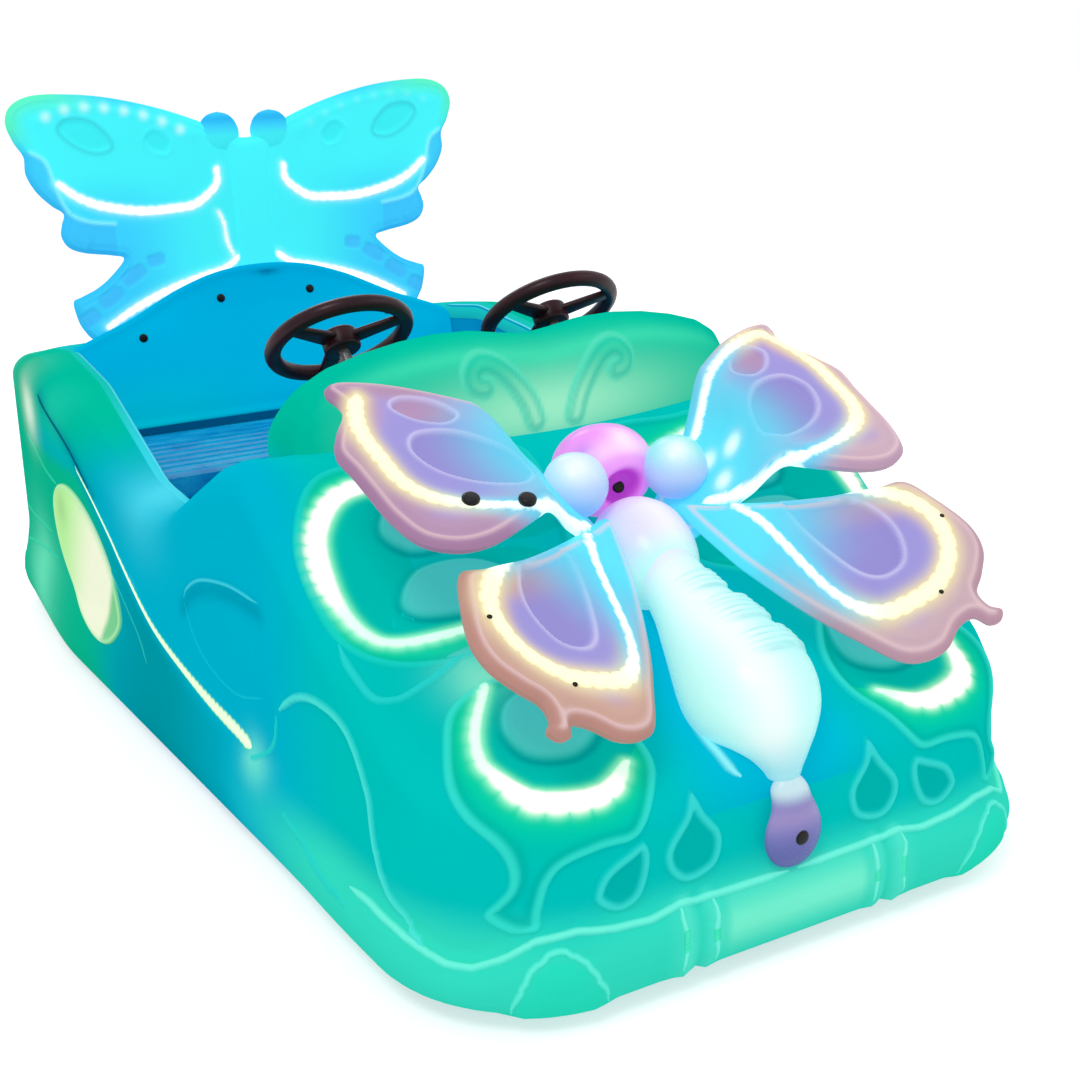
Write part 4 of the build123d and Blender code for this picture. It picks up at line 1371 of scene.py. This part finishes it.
# The head: a thick arch round a sunk face
head, form = turned_form("head_skin", [
    (0, -66), (22, -62), (42, -50), (57, -32), (64, -10), (65, 8), (60, 28), (48, 46), (28, 60), (0, 66)],
    Matrix.Identity(4), 96)
face = np.array([0.004, -0.634, 0.520])
placed = np.stack([form[:, 0] * 1.16, -0.578 + form[:, 1] * 0.93, 0.534 + form[:, 2]], 1)
reach = np.linalg.norm((placed - face) * np.array([0.85, 0.5, 1.0]), axis=1)
sunk = 1 - ease(reach, 0.016, 0.034)
placed[:, 1] += 0.020 * sunk
place_points(head, placed)
tones = Paint(len(form), colour(236, 146, 242))
# Painted highlights: a pale band along the upper arch, and a spot on its crest
tones.over(colour(250, 200, 246), bell(reach - 0.058, 0.014) * ease(placed[:, 2], 0.50, 0.56))
tones.over(colour(255, 238, 248),
           bell(np.linalg.norm(placed - np.array([0.012, -0.612, 0.585]), axis=1), 0.020) * 0.8)
tones.over(colour(238, 160, 246), bell(reach - 0.040, 0.008) * 0.7)
tones.over(magenta, (1 - ease(reach, 0.022, 0.032)) * 0.95)
# Painted shade: purple-blue beside the right eye, on the -X side
tones.over(colour(140, 110, 230), bell(placed[:, 0] + 0.055, 0.016) * ease(-placed[:, 1], 0.59, 0.62) * 0.8)
tones.shine(0.40, 0.72)
coloured(head, tones)
keep(head, "head_skin", "chassis", body_finish, ["butterfly_head"])

for side, sign_x, tint in (("left", 1, colour(120, 245, 232)), ("right", -1, colour(206, 236, 244))):
    eye, form = turned_form("eye_skin", [
        (0, -45), (20, -40.5), (34, -29.5), (43, -13), (45, 0), (43, 13), (34, 29.5), (20, 40.5), (0, 45)],
        Matrix.Translation((sign_x * 0.080, -0.642, 0.540)), 64)
    tones = Paint(len(form), colour(186, 208, 250))
    tones.over(tint, ease(form[:, 2], -0.005, 0.035) * 0.75)
    # Painted highlight: a white spot high on the eye's front
    tones.over(colour(246, 252, 255),
               bell(np.linalg.norm(form - np.array([-0.014, -0.026, 0.032]), axis=1), 0.022) * 0.9)
    tones.over(colour(130, 178, 240), bell(form[:, 2] + 0.030, 0.02) * 0.6)
    tones.shine(0.36, 0.74)
    coloured(eye, tones)
    keep(eye, "eye_skin_" + side, "chassis", body_finish, ["butterfly_eye_" + side])

tail, form = turned_form("tail_skin", [
    (0, -44), (17, -41.5), (31, -31), (40, -14), (42, 3), (39, 19), (33, 33), (28, 46), (25, 60), (15, 72),
    (0, 75)],
    Matrix.Identity(4), 72)
flatten = 0.34 + 0.30 * ease(form[:, 2], 0.02, 0.06)
place_points(tail, np.stack([
    form[:, 0], -1.0205 + form[:, 1] * flatten + 0.012 * ease(form[:, 2], 0.03, 0.07), 0.172 + form[:, 2]],
    1))
tones = Paint(len(form), bulb_purple)
# Painted shade: darker towards the bottom of the bulb
tones.over(colour(90, 96, 168), (1 - ease(form[:, 2], -0.030, 0.020)) * 0.7)
tones.over(colour(168, 150, 206), bell(form[:, 2] - 0.030, 0.018) * 0.8)
tones.over(colour(205, 232, 240), ease(form[:, 2], 0.040, 0.062))
tones.shine(0.26, 0.8)
coloured(tail, tones)
keep(tail, "tail_skin", "chassis", body_finish, ["butterfly_tail"])

# Cowl: a pillow across the front of the tub, with two curled feelers pressed into it
crest = mm((0, 699), (49, 705), (97, 713), (148, 714), (199, 709), (250, 699), (300, 684), (335, 664),
           (352, 644),
           (362, 615), (366, 590))
cowl_section = curve(mm(
    (-446, 505), (-447, 560), (-445, 620), (-436, 668), (-414, 702), (-384, 714), (-330, 703), (-262, 677),
    (-190, 642), (-135, 606), (-112, 582), (-114, 560), (-135, 545), (-200, 525), (-300, 505),
    (-380, 500)), 0.005,
    closed=True)
cowl_middle_y = -0.290
cowl_foot = 0.500
cowl_columns = 230
bpy.ops.mesh.primitive_uv_sphere_add(segments=len(cowl_section), ring_count=cowl_columns, radius=1)
cowl = bpy.context.object
ball = points_of(cowl)
lean = np.arccos(np.clip(ball[:, 2], -1, 1)) - pi / 2
turn_share = (np.arctan2(ball[:, 1], ball[:, 0]) % tau) / tau
section_at = np.rint(turn_share * len(cowl_section)).astype(int) % len(cowl_section)
cowl_x = 0.366 * np.sin(lean)
narrow = np.clip(np.cos(lean), 0, 1) ** 0.42
tall = (np.interp(np.abs(cowl_x), crest[:, 0], crest[:, 1]) - cowl_foot) / (0.714 - cowl_foot)
section = cowl_section[section_at]
cowl_y = cowl_middle_y + (section[:, 0] - cowl_middle_y) * narrow
cowl_z = cowl_foot + (section[:, 1] - cowl_foot) * tall
cowl_points = np.stack([cowl_x, cowl_y, cowl_z], 1)
facing = ease(-cowl_y, 0.375, 0.425) * ease(section[:, 1], 0.515, 0.545)
feelers = [
    curve(mm((33, 585), (42, 612), (56, 636), (74, 658), (92, 672), (112, 676), (126, 664), (124, 648),
             (110, 642))),
]
bump_out = np.zeros(len(cowl_points))
tones = Paint(len(cowl_points), colour(0, 200, 162))
tones.over(colour(0, 182, 160), (1 - facing) * 0.5)
# Painted light: a pale pool of light on the middle of the face, cast by the butterfly's lamps
tones.over(colour(168, 248, 204), facing * bell(cowl_z - 0.598, 0.055) * bell(cowl_x, 0.20) * 0.95)
# Painted highlight: a lighter line near the face's upper edge
tones.over(colour(70, 228, 182), facing * bell(cowl_z - tall * 0.186 - cowl_foot, 0.012) * 0.6)
tones.over(teal, (1 - ease(cowl_z, 0.54, 0.575)) * 0.7)
side_view = np.stack([np.abs(cowl_x), cowl_z], 1)
for line in feelers:
    far = distance(side_view, line)
    bump_out += facing * (0.006 * ease(0.015 - far, 0, 0.005))
    tones.over(colour(90, 226, 190), facing * bell(far - 0.0145, 0.0035) * 0.9)
    tones.over(colour(0, 190, 165), facing * bell(far - 0.008, 0.004) * 0.5)
# Painted light: the same pool of light, given as glow
tones.lit(colour(110, 225, 160), facing * bell(cowl_z - 0.598, 0.050) * bell(cowl_x, 0.19) * 0.5)
tones.glow = np.maximum(tones.glow, tones.base * shell_glow)
tones.base *= shell_base
cowl_points[:, 1] -= bump_out
place_points(cowl, cowl_points)
coloured(cowl, tones)
tidy_normals(cowl)
smooth(cowl, 60)
keep(cowl, "cowl_skin", "chassis", shell_finish, ["cowl"])

# Steering wheels


def steering_wheel(side, sign_x):
    parts = []
    bpy.ops.mesh.primitive_torus_add(major_segments=96, minor_segments=20, major_radius=0.109,
                                     minor_radius=0.013)
    parts.append(bpy.context.object)
    bpy.ops.mesh.primitive_cylinder_add(vertices=48, radius=0.030, depth=0.034, location=(0, 0, -0.006))
    hub = bpy.context.object
    bevelled(hub, 0.006, 4)
    parts.append(hub)
    for angle in (90, 210, 330):
        bpy.ops.mesh.primitive_cube_add(size=1, location=(0, 0, 0))
        spoke = bpy.context.object
        cube = points_of(spoke)
        wide = np.where(cube[:, 0] > 0, 0.022, 0.034)
        place_points(spoke, np.stack([0.062 + cube[:, 0] * 0.088, cube[:, 1] * wide,
                                      cube[:, 2] * 0.010 - 0.004], 1))
        bevelled(spoke, 0.004, 3)
        spoke.matrix_world = Matrix.Rotation(radians(angle), 4, "Z")
        parts.append(spoke)
    wheel = joined(parts)
    place = Matrix.Translation((sign_x * 0.190, -0.090, 0.670))
    wheel.matrix_world = place @ Matrix.Rotation(radians(-38), 4, "X")
    settle(wheel)
    smooth(wheel, 40)
    keep(wheel, "grip_wheel_" + side, "steer_" + side, finishes["maroon_grip"],
         ["steering_wheel_" + side])


steering_wheel("right", -1)
steering_wheel("left", 1)

# Seat cushion: ribbed vinyl over foam
seat_low, seat_high = (np.array(corner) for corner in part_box("seat_cushion"))
bpy.ops.mesh.primitive_cube_add(size=1)
cushion = bpy.context.object
subdivide = cushion.modifiers.new("Subdivision", "SUBSURF")
subdivide.subdivision_type = "SIMPLE"
subdivide.levels = 6
subdivide.render_levels = 6
apply_all(cushion)
unit = points_of(cushion)
middle = (seat_low + seat_high) / 2
size = seat_high - seat_low
edge_gap = 0.5 - np.abs(unit)


def round_corner(gap):
    return 1 - (1 - np.clip(gap / 0.10, 0, 1)) ** 2


pull = 0.985 - 0.012 * np.cos(unit[:, 0] * tau) * (np.abs(unit[:, 1]) > 0.4)
crowned = 0.5 + 0.5 * np.sqrt(np.clip(round_corner(edge_gap[:, 0]) * round_corner(edge_gap[:, 1]), 0, 1))
rib_wave = np.abs(np.sin(unit[:, 1] * pi * 9)) ** 0.6 * 0.010 - 0.010
upper = unit[:, 2] > 0
cushion_z = np.where(
    upper, middle[2] + size[2] * unit[:, 2] * crowned + rib_wave * ease(edge_gap[:, 1], 0.02, 0.06)
    * (unit[:, 2] > 0.3),
    middle[2] + size[2] * unit[:, 2])
place_points(cushion, np.stack([
    middle[0] + size[0] * unit[:, 0] * 0.998, middle[1] + size[1] * unit[:, 1] * pull, cushion_z], 1))


def vinyl(name, first, second):
    """Glossy vinyl with a fine leather grain and soft creases, lighter on their rises as a painted sheen."""
    graph = Graph(bpy.data.materials.new(name))
    crease_and_sheen = graph.noise(26, 5, (0.5, 2.2, 1))
    grain = graph.node("ShaderNodeTexVoronoi", {"feature": "DISTANCE_TO_EDGE"}, {
        "Vector": graph.coordinates(), "Scale": 420.0})
    # Painted sheen: the second, lighter colour shows on the rises of the creases
    graph.set(Base_Color=graph.mix(graph.span(crease_and_sheen, 0, 1), first, second))
    graph.set(Roughness=graph.span(crease_and_sheen, 0.16, 0.30), Coat_Weight=0.5, Coat_Roughness=0.08)
    graph.bump(crease_and_sheen + grain * 0.08, 0.6, 0.0012)
    return graph.owner


seat_vinyl = vinyl("seat_vinyl", colour(0, 122, 196), colour(30, 176, 226))
smooth(cushion, 60)
keep(cushion, "cushion_cover", "chassis", seat_vinyl, ["seat_cushion"])

# Backrest: a thin shell that leans back, with an arched top and four bolts
back_lean = radians(8)
back_outline = mm(
    (0, 357), (200, 357), (400, 357), (432, 366), (438, 420), (438, 500), (428, 532), (380, 554), (300, 584),
    (230, 618), (186, 638), (120, 660), (60, 671), (0, 674))
back_outline = np.concatenate([back_outline, back_outline[-2:0:-1] * np.array([-1, 1])])


def back_place(chart, lift):
    across, up = chart.T
    forward = 0.8597 - (0.674 - up) * np.tan(back_lean) - lift
    return np.stack([across, forward, up], 1)


def back_relief(chart, far):
    return 0.004 * ease(far, 0.02, 0.06) - 0.003 * bell(far - 0.018, 0.007)


made = plate(back_outline, 0.012, 0.017, back_place, back_relief)
tones = Paint(len(made[0]), colour(0, 178, 222))
tones.over(colour(0, 190, 205), (1 - ease(made[0][:, 2], 0.36, 0.52)) * ease(-made[0][:, 0], -0.1, 0.3) * 0.8)
tones.over(colour(0, 160, 212), ease(made[0][:, 2], 0.56, 0.67) * 0.6)
slit = np.hypot((made[0][:, 0] - 0.010) * 0.25, made[0][:, 2] - 0.655)
tones.over(colour(0, 70, 120), bell(slit, 0.006) * 0.8)
tones.shine(0.55, 0.62)
dressed("backrest_skin", made[0], made[1], tones, rear_finish, 60, ["backrest"])

# Rear butterfly: outline seen from the front
rear_wing = mm(
    (36, 936), (70, 962), (110, 982), (190, 1010), (280, 1032), (360, 1042), (432, 1042), (474, 1024),
    (488, 992),
    (478, 955), (462, 925), (462, 890), (446, 855), (420, 826), (398, 808), (404, 786), (408, 764),
    (396, 740),
    (366, 726), (310, 716), (286, 706), (318, 672), (350, 650), (384, 636), (400, 628), (398, 600),
    (388, 570),
    (360, 538), (280, 500), (200, 474), (100, 462), (36, 458))
rear_front_y = 0.856


def rear_place(chart, lift):
    across, up = chart.T
    return np.stack([across, rear_front_y + 0.022 - lift, up], 1)


rear_dots = curve(mm(
    (430, 992), (390, 1010), (346, 1016), (304, 1014), (262, 1007), (222, 997), (189, 985), (152, 968),
    (119, 948)))
rear_lamps = [
    curve(mm((405, 870), (371, 842), (330, 822), (274, 808), (222, 802), (171, 804), (130, 808), (97, 828),
             (76, 850),
             (74, 878))),
    curve(mm((46, 690), (78, 669), (134, 655), (191, 639), (244, 619), (293, 596), (338, 571))),
]
rear_streak = curve(mm((79, 791), (69, 765), (65, 726), (52, 692)))
rear_ovals = [
    curve(mm((350, 996), (318, 984), (290, 952), (292, 930), (328, 926), (366, 944), (392, 972),
             (382, 992)), 0.004,
          closed=True),
    curve(mm((206, 966), (182, 960), (164, 936), (176, 914), (206, 920), (224, 944)), 0.004, closed=True),
]
rear_layers = [
    curve(mm((450, 934), (424, 914), (412, 871), (400, 832), (384, 806), (350, 790), (300, 782))),
    curve(mm((364, 790), (356, 765), (362, 740), (372, 724))),
]
rear_look = {"widths": (5, 6, 7, 7, 7, 7, 7, 6, 5), "pitch": 0.021, "outer": 1, "inner_scallop": 0.42,
             "halo": 0.011,
             "core": colour(255, 255, 255), "halo_tone": colour(140, 250, 255), "strength": 1.0,
             "rim_tone": colour(185, 252, 255), "thin": 0, "thin_tone": lime_core}
rear_cells = [
    # across, up, along, half length, half width
    (0.222, 0.700, 0.10, 0.020, 0.014), (0.272, 0.672, 0.62, 0.030, 0.016),
    (0.324, 0.630, 0.62, 0.030, 0.016),
    (0.372, 0.592, 0.62, 0.022, 0.018),
]


def cell_share(chart, cell):
    """1 inside one rounded cell of the lower wing, and 0 outside it."""
    across, up, slope, half_long, half_wide = cell
    moved = chart - np.array([across, up])
    direction = np.array([1, -slope]) / np.hypot(1, slope)
    along_cell = np.abs(moved @ direction) / half_long
    beside = np.abs(moved @ np.array([-direction[1], direction[0]])) / half_wide
    return 1 - ease((along_cell ** 4 + beside ** 4) ** 0.25, 0.8, 1.05)


def rear_relief(chart, far):
    height = 0.0030 * ease(far, 0.016, 0.022) + 0.0022 * bell(far - 0.011, 0.0035) - 0.0030
    for line in rear_lamps + [rear_dots]:
        height = height + 0.0026 * bell(distance(chart, line), 0.012)
    for line in rear_layers:
        height = height + 0.0026 * bell(distance(chart, line), 0.006)
    for oval in rear_ovals:
        gap = distance(chart, oval, 0.1, closed=True)
        height = height - 0.005 * ease(gap * inside(chart, oval), 0.0, 0.010) + 0.0018 * bell(gap, 0.004)
    for cell in rear_cells:
        height = height - 0.004 * cell_share(chart, cell)
    return height


made = plate(rear_wing, 0.0042, 0.034, rear_place, rear_relief)
places, far = made[2], made[3]
lowered = 1 - ease(places[:, 1], 0.76, 0.90)
for side, dot_strength in (("left", 0.12), ("right", 0.55)):
    tones = Paint(len(places), rear_cyan)
    tones.over(rear_blue, lowered * ease(places[:, 0], 0.10, 0.30) * 0.85)
    layer_gap = distance(places, rear_layers[0], 0.12)
    outer_layer = inside(places, np.concatenate([rear_layers[0], mm((300, 700), (480, 700), (520, 934))]))
    tones.over(colour(62, 190, 246), outer_layer * (1 - ease(places[:, 1], 0.92, 0.97)) * 0.75)
    tones.over(colour(48, 176, 240), bell(far, 0.012) * ease(places[:, 0], 0.1, 0.3) * 0.55)
    tones.over(rear_green, (1 - ease(far, 0.0, 0.045)) * ease(places[:, 0], 0.25, 0.44)
               * ease(places[:, 1], 0.93, 0.99))
    tones.over(colour(150, 248, 255), bell(layer_gap, 0.004) * 0.7)
    for oval in rear_ovals:
        gap = distance(places, oval, 0.1, closed=True)
        tones.over(colour(60, 205, 215), bell(gap, 0.004) * ease(places[:, 0], 0.2, 0.3) * 0.7)
        tones.over(colour(50, 222, 226), ease(gap * inside(places, oval), 0.0, 0.012) * 0.4)
    for cell in rear_cells:
        tones.over(colour(70, 186, 246), cell_share(places, cell) * 0.7)
    tones.glow = tones.base * 0.52
    lamp_dots(tones, places, spaced(rear_dots, 0.040), colour(205, 255, 250), 0.0105, dot_strength)
    for line in rear_lamps:
        glow_band(tones, *follow(places, line), rear_look)
    if side == "right":
        glow_band(tones, *follow(places, rear_streak), {**rear_look, "widths": (2, 3, 3, 2), "strength": 0.6})
    tones.base *= 0.72
    turned = made[0] * (flip if side == "right" else 1)
    dressed("rear_wing_skin_" + side, turned, made[1], tones, rear_finish, 50,
            ["rear_wing_" + side])

body_outline = mm((46, 440), (46, 600), (47, 780), (50, 890), (60, 940), (36, 948), (14, 940), (0, 939))
body_outline = np.concatenate([body_outline, body_outline[-2::-1] * np.array([-1, 1])])


def rear_body_place(chart, lift):
    return rear_place(chart, lift + 0.002)


def plain_relief(chart, far):
    return 0.0 * far


made = plate(body_outline, 0.006, 0.038, rear_body_place, plain_relief)
tones = Paint(len(made[0]), rear_cyan)
tones.over(rear_blue, (1 - ease(made[0][:, 2], 0.55, 0.66)) * 0.4)
tones.shine(0.55, 0.70)
dressed("rear_body_skin", made[0], made[1], tones, rear_finish, 60, ["rear_butterfly_body"])
for side, sign_x in (("left", 1), ("right", -1)):
    ball_piece, form = turned_form("rear_ball", [
        (0, -44), (20, -39), (34, -28), (42, -12), (44, 0), (42, 12), (34, 28), (20, 39), (0, 44)],
        Matrix.Translation((sign_x * 0.057, 0.895, 0.950)) @ Matrix.Diagonal((1, 0.55, 1, 1)), 48)
    tones = Paint(len(form), rear_cyan)
    # Painted shade: the upper half bluer and darker, with a darker band near the top
    tones.over(rear_blue, ease(form[:, 2], -0.01, 0.02) * 0.9)
    tones.over(colour(30, 160, 230), bell(form[:, 2] - 0.030, 0.010) * 0.6)
    tones.shine(0.45, 0.75)
    coloured(ball_piece, tones)
    keep(ball_piece, "rear_ball_" + side, "chassis", rear_finish)

# Round bolts with a rim, on the backrest, the wings and the tail


def bolts(name, rows, body="chassis"):
    """Button-head bolts as one piece: place, direction, radius."""
    heads = []
    for place, direction, radius in rows:
        bpy.ops.mesh.primitive_cylinder_add(vertices=28, radius=radius, depth=radius * 0.9)
        bolt = bpy.context.object
        bevelled(bolt, radius * 0.32, 3)
        turn_to = Vector(direction).to_track_quat("Z", "Y").to_matrix().to_4x4()
        bolt.matrix_world = Matrix.Translation(place) @ turn_to
        heads.append(bolt)
    piece = joined(heads)
    settle(piece)
    smooth(piece, 40)
    return keep(piece, name, body, finishes["black_plastic"])


back_bolts = [((across, back_place(np.array([[across, up]]), np.array([0.004]))[0][1], up), (0, -1, 0.1),
               0.009)
              for across, up in ((-0.101, 0.611), (0.101, 0.611), (-0.278, 0.546), (0.278, 0.546))]
bolts("backrest_bolts", back_bolts)
wing_bolts = []
for across, forward in ((0.285, -0.746), (0.217, -0.764)):
    spot = upper_place(np.array([[across, forward]]), np.array([0.004]))[0]
    wing_bolts.append(((-spot[0], spot[1], spot[2]), (0, -0.4, 1), 0.0115))
bolts("wing_bolts", wing_bolts)
small_screws = []
screw_rows = [
    # across, forward, place
    (0.338, -0.893, lower_place), (0.272, -0.968, lower_place), (0.346, -0.700, upper_place)]
for across, forward, screw_place in screw_rows:
    spot = screw_place(np.array([[across, forward]]), np.array([0.0012]))[0]
    for sign_x in (-1, 1):
        small_screws.append(((sign_x * spot[0], spot[1], spot[2]), (0, -0.4, 1), 0.0034))
bolts("small_screws", small_screws)
bolts("tail_bolt", [((0.003, -1.0322, 0.172), (0, -1, 0), 0.0100)])
bolts("head_bolt", [((0.002, -0.6180, 0.5185), (-0.2, -0.8, 0.5), 0.0085)])

# The CAD pieces that show take their finish from their slot
for name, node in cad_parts.items():
    slots = [slot.material.name.split(".")[0] for slot in node.material_slots if slot.material]
    for finish_slot, finish in finishes.items():
        if any(finish_slot in slot for slot in slots):
            node.data.materials.clear()
            node.data.materials.append(finish)

# Floor, light and camera
bpy.ops.mesh.primitive_plane_add(size=60, location=(0, 0, 0))
floor = bpy.context.object
floor.name = "floor"


def seen_directly(graph):
    """1 for what the camera, a gloss or clear glass looks at, and 0 for what only lights."""
    seen = [graph.node("ShaderNodeLightPath", output=output) for output in (0, 3, 6)]
    return seen[0].math("MAXIMUM", seen[1]).math("MAXIMUM", seen[2])


floor_graph = Graph(bpy.data.materials.new("studio_floor"))
floor_graph.set(Base_Color=(0.80, 0.80, 0.80, 1), Roughness=0.7, Emission_Strength=1.0)
floor_graph.set(Emission_Color=floor_graph.mix(seen_directly(floor_graph), (0, 0, 0), (0.52, 0.52, 0.52)))
floor.data.materials.append(floor_graph.owner)

world = bpy.data.worlds.new("studio")
scene.world = world
sky = Graph(world, "Background")
sky.set(Color=sky.mix(seen_directly(sky), (0.62, 0.62, 0.62), (1, 1, 1)))


def area_light(name, place, target, size, energy, tone=(1, 1, 1)):
    light = bpy.data.lights.new(name, "AREA")
    light.shape = "DISK"
    light.size = size
    light.energy = energy
    light.color = tone
    holder = bpy.data.objects.new(name, light)
    scene.collection.objects.link(holder)
    holder.location = place
    holder.rotation_euler = (Vector(target) - Vector(place)).to_track_quat("-Z", "Y").to_euler()


area_light("key", (-2.2, -2.6, 4.6), (0, -0.2, 0.3), 2.0, 80)
area_light("fill", (3.5, -2.5, 2.8), (0, 0, 0.4), 3.0, 24)
area_light("back", (0.5, 4.0, 3.5), (0, 0, 0.5), 2.5, 40)

photo_width = 1080
focal_pixels = 1497.68
camera_place = (-1.0285, -2.3206, 1.0950)
camera = bpy.data.cameras.new("camera")
viewer = bpy.data.objects.new("camera", camera)
scene.collection.objects.link(viewer)
right = Vector((0.877335, -0.478731, -0.033172))
upward = Vector((0.176591, 0.257803, 0.949923))
ahead = Vector((0.446206, 0.839258, -0.310719))
turned = Matrix((right, upward, -ahead)).transposed().to_4x4()
viewer.matrix_world = Matrix.Translation(camera_place) @ turned
camera.sensor_width = 36
camera.lens = camera.sensor_width * focal_pixels / photo_width
scene.camera = viewer

scene.view_settings.view_transform = "Standard"
